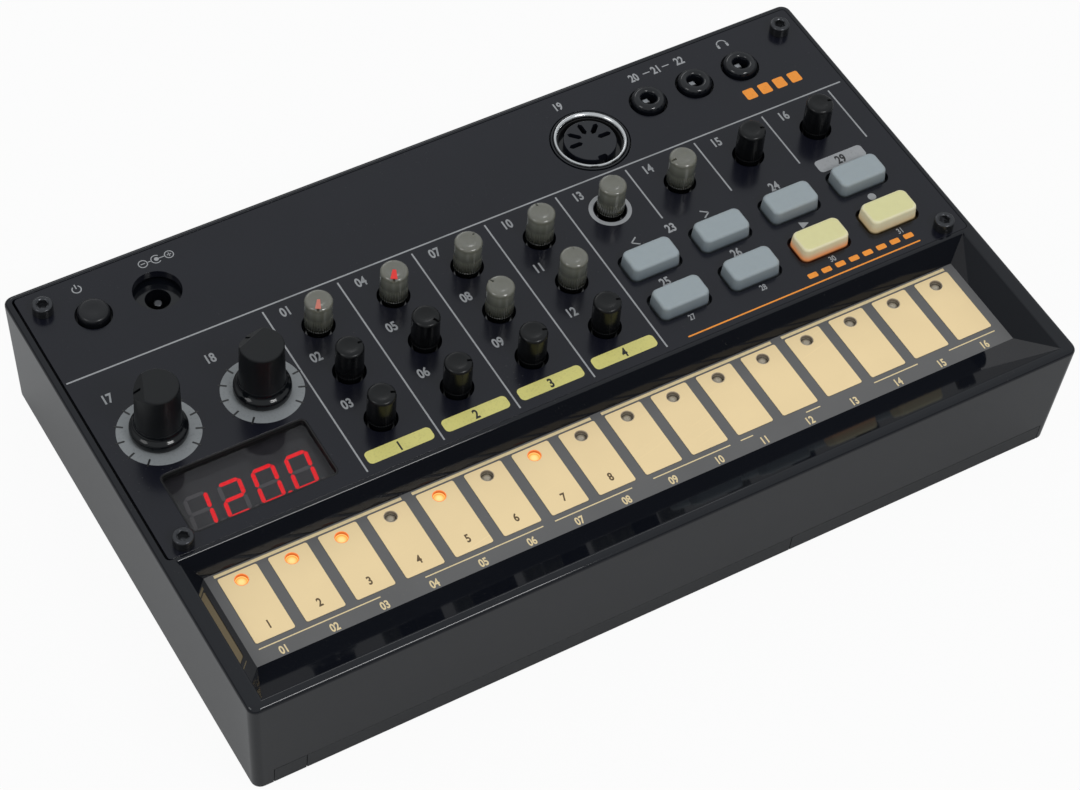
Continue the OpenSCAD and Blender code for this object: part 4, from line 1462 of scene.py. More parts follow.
@dataclass
class Keyboard:
    """The sunken plate with sixteen touch keys and the lamps under them."""

    plate_low: Corner = (-90.5, -46.8, 24.5)
    plate_high: Corner = (90.5, -20.7, PLATE_Z)
    key_half: Spot = (4.3, 8.5)
    key_y: float = -32.1
    key_radius: float = 0.45
    lamp_y: float = -25.8
    lamp_hole: float = 1.45
    lit: tuple[int, ...] = (0, 1, 2, 4, 6)
    # The collar lines the lamp hole; its finish paints the lamp's light on the hole's wall, or the
    # shade in it.
    collar: tuple[Spot, ...] = ((1.3, 24.5), (1.44, 24.6), (1.44, 26.2), (1.32, 26.2))
    seat: Spot = (1.24, 24.95)
    dome: tuple[Spot, ...] = ((1.12, 25.15), (0.85, 25.32), (0.45, 25.43), (0.2, 25.45))

    def build(self) -> None:
        """Builds the plate, the keys and the lamps."""
        plate = blank_block("plate", self.plate_low, self.plate_high)
        holes = [self._hole(key_x(index), 24.0) for index in range(KEY_COUNT)]
        carve(plate, join("lamp_holes", holes))
        soften(plate, 0.08, 2)
        hand_over(
            plate, "key_plate_finished", "case", FINISHES.key_plate, ["keyboard_plate"]
        )
        self._keys()
        self._lamps()

    def _hole(self, x: float, low: float) -> bpy.types.Object:
        """Makes the cutter of one lamp hole."""
        return blank_rod("hole", (x, self.lamp_y), low, 27.0, self.lamp_hole, 40)

    def _keys(self) -> None:
        """Models one touch key with its lamp hole and copies it sixteen times."""
        width, length = self.key_half
        low, high = (-width, self.key_y - length, PLATE_Z), (width, self.key_y + length, PAD_Z)
        key = rounded_slab("key", low, high, self.key_radius, 4)
        carve(key, self._hole(0.0, 25.0))
        soften(key, 0.05, 2)
        keys = spread(key, "keys", [(key_x(index), 0.0, 0.0) for index in range(KEY_COUNT)])
        hand_over(keys, "touch_keys", "case", FINISHES.key, ["touch_pads"])

    def _lamps(self) -> None:
        """Models one domed lens in a collar that lines its hole, and copies it under every key, lit
        or dark.
        """
        model = turned("lens", (0.0, 0.0), [*self.collar, self.seat, *self.dome], 32, 60.0)
        groups: dict[bool, list[bpy.types.Object]] = {True: [], False: []}
        for index in range(KEY_COUNT):
            lens = copied(model, "lens_copy", (key_x(index), self.lamp_y, 0.0))
            groups[index in self.lit].append(lens)
        discard(model)
        lit, dark = join("lit", groups[True]), join("dark", groups[False])
        hand_over(lit, "key_lamps_lit", "case", FINISHES.lamp, ["key_lenses"])
        hand_over(dark, "key_lamps_dark", "case", FINISHES.lamp_off)


# ---- display ----


class Segment(Enum):
    """The seven bars of a digit, as their middle in half heights and whether they stand."""

    TOP = (0.0, 1.0, False)
    UPPER_RIGHT = (1.0, 0.5, True)
    LOWER_RIGHT = (1.0, -0.5, True)
    BOTTOM = (0.0, -1.0, False)
    LOWER_LEFT = (-1.0, -0.5, True)
    UPPER_LEFT = (-1.0, 0.5, True)
    MIDDLE = (0.0, 0.0, False)


DIGITS: dict[str, str] = {
    "0": "TOP UPPER_RIGHT LOWER_RIGHT BOTTOM LOWER_LEFT UPPER_LEFT",
    "1": "UPPER_RIGHT LOWER_RIGHT",
    "2": "TOP UPPER_RIGHT MIDDLE LOWER_LEFT BOTTOM",
}


@dataclass
class Display:
    """The smoked window and the four-digit module under it."""

    window_low: Corner = (-88.5, -15.8, 28.42)
    window_high: Corner = (-54.5, 1.6, 29.49)
    window_rise: float = 1.0
    window_edge: float = 1.16
    window_radius: float = 2.1
    gasket_width: float = 0.32
    first_digit_x: float = -83.1
    digit_pitch: float = 7.45
    digit_y: float = -8.8
    digit_half: Spot = (2.2, 4.0)
    bar: float = 0.86
    slant: float = 0.14
    shown: str = "1200"
    pointed: int = 2
    point_step: float = 1.35
    point_radius: float = 0.5
    face_z: float = 28.3

    def build(self) -> None:
        """Builds the window, the module's face and its segments."""
        radius = self.window_radius
        window = rounded_slab("window", self.window_low, self.window_high, radius, 8)
        with Bench(window) as bench:
            bench.faces(facing_up(self.window_high[2]))
            bench.inset(self.window_edge).raise_by(self.window_rise)
        smooth(window)
        hand_over(
            window, "window_finished", "case", FINISHES.window, ["display_window"]
        )
        low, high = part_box("display_module")
        module = blank_block("module", tuple(low / MM), (*tuple(high / MM)[:2], self.face_z - 0.5))
        low, high = (*self.window_low[:2], self.face_z - 0.9), (*self.window_high[:2], self.face_z)
        module = join("module", [module, rounded_slab("face", low, high, radius, 6)])
        soften(module, 0.1, 2)
        hand_over(
            module, "display_block", "case", FINISHES.display, ["display_module"]
        )
        lit, dark = self._digits()
        # Painted shade: a black lining on the walls of the panel's opening darkens the gap round
        # the window.
        gasket = self._opening_frame("gasket", 0.02, 29.5, FACE_Z - 0.08)
        hole = self._opening_frame("shade_lining_hole", 0.02 + self.gasket_width, 29.0, FACE_Z + 1)
        carve(gasket, hole)
        hand_over(gasket, "window_shade_lining", "case", FINISHES.gasket)
        lit, dark = join("lit", lit), join("dark", dark)
        hand_over(lit, "segments_lit", "case", FINISHES.segment)
        hand_over(dark, "segments_dark", "case", FINISHES.ghost)

    def _digits(self) -> tuple[list[bpy.types.Object], list[bpy.types.Object]]:
        """Models the bars and the point of every digit.

        Returns:
            The lit marks and the dark marks.
        """
        lit: list[bpy.types.Object] = []
        dark: list[bpy.types.Object] = []
        for place, digit in enumerate(self.shown):
            x = self.first_digit_x + place * self.digit_pitch
            for segment in Segment:
                named = segment.name in DIGITS[digit].split()
                (lit if named else dark).append(self._bar(segment, x))
            (lit if place == self.pointed else dark).append(self._point(x))
        return lit, dark

    @staticmethod
    def _opening_frame(name: str, inward: float, low: float, high: float) -> bpy.types.Object:
        """Models a block with the display opening's outline.

        Args:
            name: Name of the new object.
            inward: How far its sides are moved in from the opening's.
            low: Height of its underside.
            high: Height of its top.

        Returns:
            The new object.
        """
        (x0, y0), (x1, y1) = DISPLAY_LOW, DISPLAY_HIGH
        corners = (x0 + inward, y0 + inward, low), (x1 - inward, y1 - inward, high)
        return rounded_slab(name, *corners, DISPLAY_RADIUS - inward, 8)

    def _lean(self, mark: bpy.types.Object) -> bpy.types.Object:
        """Leans a mark to the right, as the digits lean.

        Args:
            mark: A bar or a point.

        Returns:
            The same mark.
        """
        lean = Matrix.Identity(4)
        lean[0][1] = self.slant
        lean[0][3] = -self.slant * self.digit_y * MM
        mark.data.transform(lean)
        return mark

    def _bar(self, segment: Segment, x: float) -> bpy.types.Object:
        """Models one bar with pointed ends.

        Args:
            segment: Which bar of the digit.
            x: Middle of the digit.

        Returns:
            The new object.
        """
        across, up, stands = segment.value
        half_w, half_h = self.digit_half
        mx, my = x + across * half_w, self.digit_y + up * half_h
        reach = (half_h / 2 if stands else half_w) - 0.12
        size = (self.bar / 2, reach) if stands else (reach, self.bar / 2)
        low = (mx - size[0], my - size[1], self.face_z - 0.05)
        high = (mx + size[0], my + size[1], self.face_z + 0.06)
        bar = blank_block("bar", low, high)
        with Bench(bar) as bench:
            bench.edges(upright).bevel(self.bar * 0.46, 1)
        return self._lean(bar)

    def _point(self, x: float) -> bpy.types.Object:
        """Models the decimal point of a digit.

        Args:
            x: Middle of the digit.

        Returns:
            The new object.
        """
        at = (x + self.digit_half[0] + self.point_step, self.digit_y - self.digit_half[1])
        radius, z = self.point_radius, self.face_z
        stations = [(radius, z - 0.05), (radius, z + 0.04), (radius - 0.08, z + 0.06)]
        return self._lean(turned("point", at, stations, 20))


# ---- knobs and dials ----


@dataclass
class Knobs:
    """The sixteen small knobs, modelled once and copied."""

    radius: float = 3.0
    low: float = 28.3
    top: float = 39.6
    stem: float = 2.0
    flutes: int = 36
    fluted: Spot = (32.2, 35.6)
    angles: tuple[tuple[float, ...], ...] = (
        (150, -93, -110),
        (150, -150, -108),
        (-60, 30, -106),
        (0, -20, -105),
        (-30,),
        (90,),
        (-105,),
        (-99,),
    )
    smoky: tuple[tuple[int, ...], ...] = ((1,), (1,), (1, 2), (1, 2), (1,), (1,), (), ())
    skirt: tuple[Spot, ...] = ((3.1, 28.9), (3.02, 29.2), (2.8, 29.4), (2.5, 29.45))
    shoulder: tuple[Spot, ...] = ((2.45, 31.9), (2.75, 31.94), (2.92, 32.02))
    notch_half: float = 0.28
    notch_from: float = 1.75

    def build(self) -> None:
        """Builds the model of a knob and copies it to every place."""
        model = self._model()
        for column, row in knob_places():
            slot, finish = "knob_black", FINISHES.knob
            if row in self.smoky[column - 1]:
                slot, finish = "knob_smoky", FINISHES.smoky
            knob, name = self._placed(model, column, row)
            hand_over(knob, f"{name}_finished", name, finish, [name])
        discard(model)
        self._pointer(2, FINISHES.red_ink, 0.75)
        self._pointer(1, FINISHES.salmon_ink, 0.62)

    def _placed(
        self, model: bpy.types.Object, column: int, row: int
    ) -> tuple[bpy.types.Object, str]:
        """Copies a model to the place of a knob, turned as the knob is.

        Args:
            model: The model, which points to the back.
            column: Column of the knob.
            row: Row of the knob.

        Returns:
            The copy, and the name of the knob.
        """
        name = f"knob_c{column}_r{row}"
        turn = self.angles[column - 1][row - 1]
        return copied(model, name, (column_x(column), row_y(row), 0.0), turn), name

    def _model(self) -> bpy.types.Object:
        """Models a fluted knob on its stem, with a pointer notch to the back.

        Returns:
            The model.
        """
        knob = turned(
            "knob",
            (0.0, 0.0),
            [
                (self.stem, 21.9),
                (self.stem, self.low),
                (self.radius, self.low),
                *self.skirt,
                *self.shoulder,
                *((self.radius, level) for level in self.fluted),
                *rounding(self.radius, self.top, 0.75, 6),
                (1.7, self.top),
                (1.55, self.top - 0.05),
                (0.3, self.top - 0.05),
            ],
            2 * self.flutes,
        )
        with Bench(knob) as bench:
            sector = math.pi / self.flutes

            def alternate(centre: Vector, normal: Vector) -> bool:
                """Tells whether a wall face is one of every second."""
                wall = abs(normal.z) < 0.1 and self.fluted[0] < centre.z < self.fluted[1]
                return wall and round(math.atan2(centre.y, centre.x) / sector - 0.5) % 2 == 0

            bench.faces(alternate).inset(0.07, -0.13, each=True)
        low = (-self.notch_half, self.notch_from, self.top - 0.55)
        carve(knob, blank_block("notch", low, (self.notch_half, 4.0, self.top + 1)))
        smooth(knob, 32.0)
        return knob

    def _pointer(self, column: int, finish: Finish, width: float) -> None:
        """Lays a printed pointer on the top of a knob in the back row.

        Args:
            column: Column of the knob.
            finish: Its ink.
            width: Half its width at the edge of the top.
        """
        low, high = (-width, 0.0, self.top - 0.1), (width, 2.5, self.top + 0.03)
        wedge = blank_block("pointer", low, high)
        with Bench(wedge) as bench:
            bench.faces(facing((0, -1, 0))).resize((0.5, 1.0, 1.0), (0.0, 0.0, 0.0))
            bench.edges(upright).bevel(0.08, 2)
        pointer, name = self._placed(wedge, column, 1)
        discard(wedge)
        hand_over(pointer, f"{name}_pointer", name, finish)


@dataclass
class Dials:
    """The two large dials with their skirts."""

    turns: Spot = (70.0, 22.0)
    low: float = 31.65
    top: float = 46.0
    sides: int = 96
    skirt: tuple[Spot, ...] = ((5.9, 31.78), (6.03, 32.1), (6.05, 32.7), (6.01, 33.25))
    shoulder: tuple[Spot, ...] = ((5.92, 33.56), (5.76, 33.78), (5.5, 33.97), (5.22, 34.16))
    waist: tuple[Spot, ...] = ((5.02, 34.4), (4.88, 34.8), (4.8, 35.3))
    edge: tuple[Spot, ...] = ((4.6, -0.5), (4.55, -0.25), (4.42, -0.08), (4.2, 0.0))
    facet_reach: float = 2.6
    facet_angle: float = 40.0
    groove_low: Corner = (-0.3, 3.15, 43.4)
    groove_high: Corner = (0.3, 6.0, 47.0)
    bore: float = 3.05

    def build(self) -> None:
        """Builds the model of a dial and copies it to both places."""
        model = self._model()
        for (name, place), turn in zip(DIAL_PLACES.items(), self.turns):
            dial = copied(model, name, (*place, 0.0), turn)
            hand_over(dial, f"{name}_finished", name, FINISHES.dial, [name])
        discard(model)

    def _model(self) -> bpy.types.Object:
        """Models a dial: a rounded skirt, a slim body, a facet and its pointer groove.

        Returns:
            The model.
        """
        edge = [(radius, self.top + rise) for radius, rise in self.edge]
        stations = [(5.6, self.low), *self.skirt, *self.shoulder, *self.waist, *edge]
        dial = turned("dial", (0.0, 0.0), stations, self.sides)
        lean = math.radians(self.facet_angle)
        with Bench(dial) as bench:
            point, normal = (0.0, self.facet_reach, self.top), (0.0, math.sin(lean), math.cos(lean))
            bench.slice_off(point, normal)
        carve(
            dial,
            blank_block("groove", self.groove_low, self.groove_high),
            blank_rod("bore", (0.0, 0.0), 30.0, 42.0, self.bore, 48),
        )
        soften(dial, 0.1, 2, 30.0)
        return dial


# ---- buttons ----


@dataclass
class Buttons:
    """The eight soft step buttons and the round power button."""

    half: Spot = (5.9, 3.3)
    low: float = 28.4
    wall_top: float = 31.0
    top: float = 34.35
    flange_reach: float = 1.2
    flange_low: float = 28.3
    power_radius: float = 3.4
    lit: dict[tuple[int, int], Layered] = field(
        default_factory=lambda: {(3, 2): FINISHES.lit_button, (4, 2): FINISHES.pale_button}
    )

    def build(self) -> None:
        """Builds one step button, copies it, and builds the power button."""
        model = self._model()
        for column in range(1, BUTTON_COLUMNS + 1):
            for row, y in enumerate(BUTTON_ROWS, 1):
                name = f"button_c{column}_r{row}"
                cap = copied(model, name, (button_x(column), y, 0.0))
                finish = self.lit.get((column, row), FINISHES.grey_button)
                hand_over(cap, f"{name}_finished", name, finish, [name])
        discard(model)
        self._power()

    @staticmethod
    def _plunger() -> bpy.types.Object:
        """Models the plunger that reaches into the switch."""
        return turned("plunger", (0.0, 0.0), [(1.3, 23.2), (1.5, 23.4), (1.5, 28.4)], 24)

    def _model(self) -> bpy.types.Object:
        """Models a soft cap with a flange under the panel.

        Returns:
            The model.
        """
        x, y = self.half
        cap = rounded_slab("cap", (-x, -y, self.low), (x, y, self.wall_top), 1.5, 8)
        edge = [(height, 0.18 - width) for width, height in rounding(0.0, self.top, 0.7, 6)]
        stepped(cap, (0.0, 0.0), self.half, self.wall_top, edge)
        with Bench(cap) as bench:
            bench.faces(facing_up(self.top)).inset(0.12)
        smooth(cap, 50.0)
        x, y = x + self.flange_reach, y + self.flange_reach
        low, high = (-x, -y, self.flange_low), (x, y, PANEL_Z - 0.02)
        return join("button", [cap, rounded_slab("flange", low, high, 1.0, 3), self._plunger()])

    def _power(self) -> None:
        """Models the power button: a flange, a rounded cap and a plunger."""
        radius, seat = self.power_radius, PANEL_Z - 0.02
        stations = [(4.7, self.flange_low), (4.7, seat), (radius, seat), (radius, 32.0)]
        stations += [*rounding(radius, 33.1, 0.9, 6), (1.2, 33.02), (0.4, 33.0)]
        cap = turned("power", (0.0, 0.0), stations, 64, 40.0)
        button = spread(join("power_cap", [cap, self._plunger()]), "power", [(*POWER_PLACE, 0.0)])
        name = "power_button"
        hand_over(button, f"{name}_finished", name, FINISHES.power, [name])


# ---- sockets ----


@dataclass
class Sockets:
    """The three small audio sockets and the round five-slot socket."""

    small_half: float = 5.5
    neck: float = 3.8
    neck_top: float = 33.06
    mouth: tuple[Spot, ...] = (
        (2.4, 33.04),
        (2.15, 32.96),
        (1.93, 32.8),
        (1.76, 32.55),
        (1.66, 32.25),
        (1.62, 31.9),
        (1.62, 21.6),
    )
    round_half: float = 10.0
    collar: tuple[Spot, ...] = (
        (8.74, 29.2),
        (8.75, 31.3),
        (8.65, 31.5),
        (8.3, 31.5),
        (8.16, 31.35),
        (8.15, 23.25),
    )
    # Painted shade: a black liner inside the plated ring darkens the gap between the ring and the
    # block.
    liner: tuple[Spot, ...] = ((7.07, 23.3), (7.07, 30.8), (6.98, 30.8), (6.95, 30.7), (6.95, 23.4))
    ring: tuple[Spot, ...] = (
        (8.1, 23.3),
        (8.1, 31.5),
        (8.04, 31.72),
        (7.92, 31.86),
        (7.75, 31.9),
        (7.56, 31.84),
        (7.36, 31.66),
        (7.2, 31.4),
        (7.11, 31.1),
        (7.08, 30.8),
        (7.08, 23.4),
    )
    block: tuple[Spot, ...] = ((5.75, 23.3), (5.85, 31.3), (5.76, 31.46), (5.6, 31.5))
    slot_turns: tuple[float, ...] = (0, 45, 90, 135, 180)

    def build(self) -> None:
        """Builds all the sockets."""
        model = self._small_socket()
        for name, place in SMALL_SOCKETS.items():
            jack = copied(model, name, (*place, 0.0))
            hand_over(jack, f"{name}_finished", "case", FINISHES.socket, [name])
        discard(model)
        self._springs()
        self._round_socket()

    def _small_socket(self) -> bpy.types.Object:
        """Models a small socket: a body under the panel and a rounded neck with its bore.

        Returns:
            The model.
        """
        half = self.small_half
        body = blank_block("body", (-half, -half, BOARD_TOP), (half, half, SOCKET_TOP))
        carve(body, blank_rod("room", (0.0, 0.0), 20.0, 31.0, 3.2, 48))
        soften(body, 0.3, 2)
        stations = [(self.neck - 0.2, BOARD_TOP), (self.neck, 22.0), (self.neck, 31.5)]
        stations += [*rounding(self.neck, self.neck_top, 1.2, 8), *self.mouth]
        return join("small_socket", [turned("neck", (0.0, 0.0), stations, 64, 40.0), body])

    @staticmethod
    def _springs() -> None:
        """Models the bent contact spring that shows in each small socket's bore."""
        spring = blank_block("spring", (-1.6, -0.45, 30.4), (0.3, 1.0, 31.85))
        with Bench(spring) as bench:
            bench.edges(lambda first, second: min(first.z, second.z) > 31).bevel(0.55, 6)
        smooth(spring, 50.0)
        springs = spread(spring, "springs", [(*place, 0.0) for place in SMALL_SOCKETS.values()])
        hand_over(springs, "socket_springs", "case", FINISHES.leaf)

    def _round_socket(self) -> None:
        """Models the round socket: a collar, a plated ring with a black liner of painted shade, and
        a block with slots.
        """
        at, half = ROUND_SOCKET, self.round_half
        x, y = at
        corners = (x - half, y - half, BOARD_TOP), (x + half, y + half, SOCKET_TOP)
        body = blank_block("body", *corners)
        carve(body, blank_rod("room", at, 23.2, 31.0, 8.15, 96))
        soften(body, 0.3, 2)
        housing = join("housing", [body, turned("collar", at, self.collar, 96, 35.0)])
        liner = turned("liner", at, self.liner, 96, 35.0)
        ring = turned("ring", at, self.ring, 128, 35.0)
        hand_over(
            housing, "round_socket_body", "case", FINISHES.socket, ["din_housing"]
        )
        hand_over(liner, "round_socket_shade_liner", "case", FINISHES.gasket)
        hand_over(ring, "round_socket_ring", "case", FINISHES.ring, ["din_shell"])
        block = turned("block", at, self.block, 96)
        slot = rounded_slab("slot", (1.9, -0.58, 25.5), (5.2, 0.58, 32.0), 0.55, 1)
        steps = [(x, y, 0.0)] * len(self.slot_turns)
        carve(
            block,
            spread(slot, "slots", steps, self.slot_turns),
            rounded_slab("notch", (x - 1.1, y - 7.0, 25.5), (x + 1.1, y - 4.85, 32.0), 0.5, 4),
        )
        soften(block, 0.07, 2, 40.0)
        hand_over(
            block, "round_socket_block", "case", FINISHES.contact, ["din_insert"]
        )


# ---- the inside ----


class Inside:
    """The solids behind the shell, which keep their shape and take a finish of their own."""

    finishes: dict[str, Finish] = {
        "main_board": FINISHES.board,
        "key_board": FINISHES.board,
        "board_header": FINISHES.nylon,
        "speaker": FINISHES.steel,
        "speaker_cone": FINISHES.paper,
        "battery_contacts": FINISHES.spring,
        "aa_cells": FINISHES.sleeve,
        "dc_jack": FINISHES.socket,
        "dc_pin": FINISHES.pin,
        "case_screws": FINISHES.screw,
        "board_screws": FINISHES.spring,
        "small_pots": FINISHES.pot,
        "dial_pots": FINISHES.spring,
        "tact_switches": FINISHES.nylon,
        "left_dial_shaft": FINISHES.spring,
        "right_dial_shaft": FINISHES.spring,
    }

    def build(self) -> None:
        """Gives every kept solid its material."""
        for name, finish in self.finishes.items():
            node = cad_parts[name]
            node.data.materials.clear()
            node.data.materials.append(FINISHES.get(finish))
            LOG.info("%-22s keeps its shape as a packed solid", name)


# ---- prints ----


class Align(Enum):
    """Where a number stands against its place."""

    LEFT = "LEFT"
    CENTER = "CENTER"


INK_HALF = 0.02


@dataclass
class PrintSheet:
    """Flat marks of one ink on one level, gathered into one piece."""

    name: str
    slot: str
    finish: Finish
    level: float = FACE_Z
    marks: list[bpy.types.Object] = field(default_factory=list)

    def _corners(self, x0: float, y0: float, x1: float, y1: float) -> tuple[Corner, Corner]:
        """Returns the lowest and the highest corner of a mark on the sheet."""
        return (x0, y0, self.level - INK_HALF), (x1, y1, self.level + INK_HALF)

    def patch(self, x0: float, y0: float, x1: float, y1: float, radius: float = 0.08) -> None:
        """Adds a filled patch with rounded corners, or a straight line."""
        self.marks.append(rounded_slab("patch", *self._corners(x0, y0, x1, y1), radius, 4))

    def dot(self, x: float, y: float, radius: float) -> None:
        """Adds a round dot."""
        low, high = self.level - INK_HALF, self.level + INK_HALF
        stations = [(radius, low), (radius, high), (radius * 0.97, high)]
        self.marks.append(turned("dot", (x, y), stations, 32))

    def arc(
        self,
        x: float,
        y: float,
        radius: float,
        width: float,
        start: float = 0.0,
        sweep: float = 360.0,
    ) -> None:
        """Adds an arc, or a whole ring.

        Args:
            x: Its centre.
            y: Its centre.
            radius: Radius of its middle line.
            width: Width of the line.
            start: Angle of its start from +X, in degrees.
            sweep: Angle that it covers, in degrees.
        """
        near, far = x + radius - width / 2, x + radius + width / 2
        piece = blank_block("arc", *self._corners(near, y - 0.01, far, y))
        with Bench(piece) as bench:
            bench.faces(facing((0, 1, 0)))
            bpy.ops.mesh.spin(
                steps=max(6, int(sweep / 5)),
                angle=math.radians(-sweep),
                center=metres(x, y, 0.0),
                axis=(0.0, 0.0, 1.0),
            )
            bench.everything()
            bpy.ops.mesh.remove_doubles(threshold=1e-6)
            bpy.ops.mesh.normals_make_consistent(inside=False)
        centre = Matrix.Translation(metres(x, y, 0.0))
        turning = Matrix.Rotation(math.radians(start), 4, "Z")
        piece.data.transform(centre @ turning @ centre.inverted())
        self.marks.append(piece)

    def wedge(self, x: float, y: float, size: float) -> None:
        """Adds a filled triangle that points to +X.

        Args:
            x: Its middle.
            y: Its middle.
            size: Its length and its height.
        """
        corners = self._corners(x - size / 2, y - size / 2, x + size / 2, y + size / 2)
        piece = blank_block("wedge", *corners)
        with Bench(piece) as bench:
            bench.faces(facing((1, 0, 0))).resize((1.0, 0.04, 1.0), (x, y, 0.0))
        self.marks.append(piece)

    def stroke(self, start: Spot, end: Spot, width: float) -> None:
        """Adds a straight line between two points.

        Args:
            start: Its start.
            end: Its end.
            width: Its width.
        """
        dx, dy = end[0] - start[0], end[1] - start[1]
        corners = self._corners(0.0, -width / 2, math.hypot(dx, dy), width / 2)
        piece = rounded_slab("stroke", *corners, width * 0.3, 2)
        turn = math.degrees(math.atan2(dy, dx))
        self.marks.append(spread(piece, "stroke_mark", [(*start, 0.0)], [turn]))

    def number(
        self, text: str, x: float, y: float, height: float, align: Align = Align.CENTER
    ) -> None:
        """Adds a number in narrow figures.

        Args:
            text: The figures.
            x: Its middle, or its left end.
            y: Its middle.
            height: Height of the figures.
            align: Which of the two x is.
        """
        deselect_all()
        bpy.ops.object.text_add(location=(0.0, 0.0, 0.0))
        figures = bpy.context.object.data
        figures.body = text
        figures.size = height * 1.37
        figures.resolution_u = 8
        figures.extrude = INK_HALF
        figures.offset = (0.041 if height > 1.8 else 0.025) * height
        figures.align_x = align.value
        bpy.ops.object.convert(target="MESH")
        piece = bpy.context.object
        narrow = Matrix.Diagonal((0.74 * MM, MM, MM, 1.0))
        piece.data.transform(Matrix.Translation(metres(x, y - height / 2, self.level)) @ narrow)
        self.marks.append(piece)

    def finish_sheet(self) -> None:
        """Joins the marks into one piece and hands it over."""
        sheet = join(self.name, self.marks)
        hand_over(sheet, self.name, "case", self.finish)


@dataclass
class Prints:
    """Everything printed on the panel, on the keyboard plate and on the keys."""

    line: float = 0.36
    cross_y: float = 30.2
    long_lines: tuple[float, ...] = (-50.34, -32.88, -15.27, 2.34, 19.8)
    short_lines: tuple[float, ...] = (37.35, 54.9, 72.5, 90.1)
    symbol_y: float = 52.05
    symbol_arcs: tuple[tuple[float, ...], ...] = (
        (-81.7, 52.0, 0.95, 0.26, 125.0, 290.0),
        (-66.6, 52.05, 0.95, 0.22),
        (-60.6, 52.05, 0.95, 0.22),
        (-63.6, 52.05, 1.05, 0.22, 45.0, 270.0),
        (76.4, 52.0, 1.2, 0.26, 0.0, 180.0),
        (28.64, 20.81, 4.2, 0.95),
    )
    symbol_dots: tuple[Corner, ...] = ((-63.5, 52.05, 0.5), (81.25, -1.8, 0.95))
    symbol_dashes: tuple[tuple[float, float, float], ...] = (
        (-67.1, -66.1, 0.22),
        (-61.1, -60.1, 0.22),
        (-65.6, -64.7, 0.22),
        (-63.0, -61.6, 0.22),
        (55.6, 57.4, 0.28),
        (60.6, 62.4, 0.28),
    )
    symbol_posts: tuple[tuple[float, ...], ...] = (
        (-81.7, 52.1, 53.4, 0.26),
        (-60.6, 51.55, 52.55, 0.22),
    )
    symbol_patches: tuple[tuple[float, ...], ...] = (
        (75.2, 8.9, 87.3, 12.4, 0.9),
        (75.0, 51.0, 75.55, 52.2, 0.2),
        (77.25, 51.0, 77.8, 52.2, 0.2),
    )
    knob_label_rows: Corner = (27.2, 13.55, -0.1)
    dial_labels: tuple[tuple[str, float], ...] = (("17", -89.6), ("18", -66.6))
    labels: tuple[tuple[str, float, float, float], ...] = (
        ("19", 33.6, 52.05, 2.2),
        ("20", 53.2, 52.05, 2.2),
        ("21", 59.0, 52.05, 2.2),
        ("22", 65.0, 52.05, 2.2),
        ("23", 37.5, 10.5, 2.3),
        ("24", 63.8, 10.5, 2.3),
        ("25", 28.6, -1.9, 2.3),
        ("26", 46.3, -1.9, 2.3),
        ("27", 28.6, -12.7, 1.5),
        ("28", 46.3, -12.7, 1.5),
        ("30", 63.8, -12.7, 1.5),
        ("31", 81.25, -12.7, 1.5),
    )
    ring: Spot = (7.0, 3.3)
    tick: Spot = (7.25, 9.15)
    ticks: int = 11
    tick_angle: float = 28.0
    bars: tuple[Spot, ...] = ((-87.2, -45.6), (-43.2, -1.5), (1.0, 42.5), (45.1, 86.8))
    dashes: tuple[Spot, ...] = (
        (-87, -60.5),
        (-50.5, -23.7),
        (-21, -3),
        (2, 20.5),
        (23, 26),
        (39, 42.5),
        (56, 67),
        (75, 86.8),
    )

    def build(self) -> None:
        """Builds the sheets of marks."""
        self._panel_lines()
        self._panel_numbers()
        self._panel_orange()
        self._yellow_plates()
        self._dial_rings()
        self._keyboard()

    def _panel_lines(self) -> None:
        """Prints the grey lines and the plain symbols of the panel."""
        sheet = PrintSheet("panel_lines", "print_grey", FINISHES.grey_ink)
        half, y = self.line / 2, self.symbol_y
        sheet.patch(-94.0, self.cross_y - half, 94.0, self.cross_y + half)
        for lines, low in ((self.long_lines, -17.3), (self.short_lines, 13.5)):
            for x in lines:
                sheet.patch(x - half, low, x + half, 29.1)
        for x, side in ((28.6, -1), (46.3, 1)):
            for end in (11.6, 9.4):
                sheet.stroke((x - side * 0.8, end), (x + side * 0.8, 10.5), 0.32)
        for patch in self.symbol_patches:
            sheet.patch(*patch)
        for arc in self.symbol_arcs:
            sheet.arc(*arc)
        for dot in self.symbol_dots:
            sheet.dot(*dot)
        for x0, x1, width in self.symbol_dashes:
            sheet.stroke((x0, y), (x1, y), width)
        for x, y0, y1, width in self.symbol_posts:
            sheet.stroke((x, y0), (x, y1), width)
        sheet.wedge(63.8, -1.8, 2.0)
        sheet.finish_sheet()

    def _panel_numbers(self) -> None:
        """Prints plain numbers in the places of the labels."""
        sheet = PrintSheet("panel_numbers", "print_grey", FINISHES.grey_ink)
        for count, (column, row) in enumerate(knob_places(), 1):
            x, y = column_x(column) - 5.6, self.knob_label_rows[row - 1]
            sheet.number(f"{count:02d}", x, y, 2.4, Align.LEFT)
        for text, x in self.dial_labels:
            sheet.number(text, x, 23.1, 2.4, Align.LEFT)
        for label in self.labels:
            sheet.number(*label)
        sheet.finish_sheet()
        dark = PrintSheet("panel_dark_number", "print_dark", FINISHES.dark_ink, OVERPRINT_Z)
        dark.number("29", 81.25, 10.65, 2.3)
        dark.finish_sheet()

    @staticmethod
    def _panel_orange() -> None:
        """Prints the orange line and the plain orange marks."""
        sheet = PrintSheet("panel_orange", "print_orange", FINISHES.orange_ink)
        sheet.patch(25.1, -17.2, 83.6, -16.85)
        for x in (56.4 + index * 3.5 for index in range(8)):
            sheet.patch(x, -15.4, x + 2.3, -14.1, 0.3)
        for x in (72.6 + index * 3.9 for index in range(4)):
            sheet.patch(x, 34.6, x + 2.7, 37.6, 0.4)
        sheet.finish_sheet()

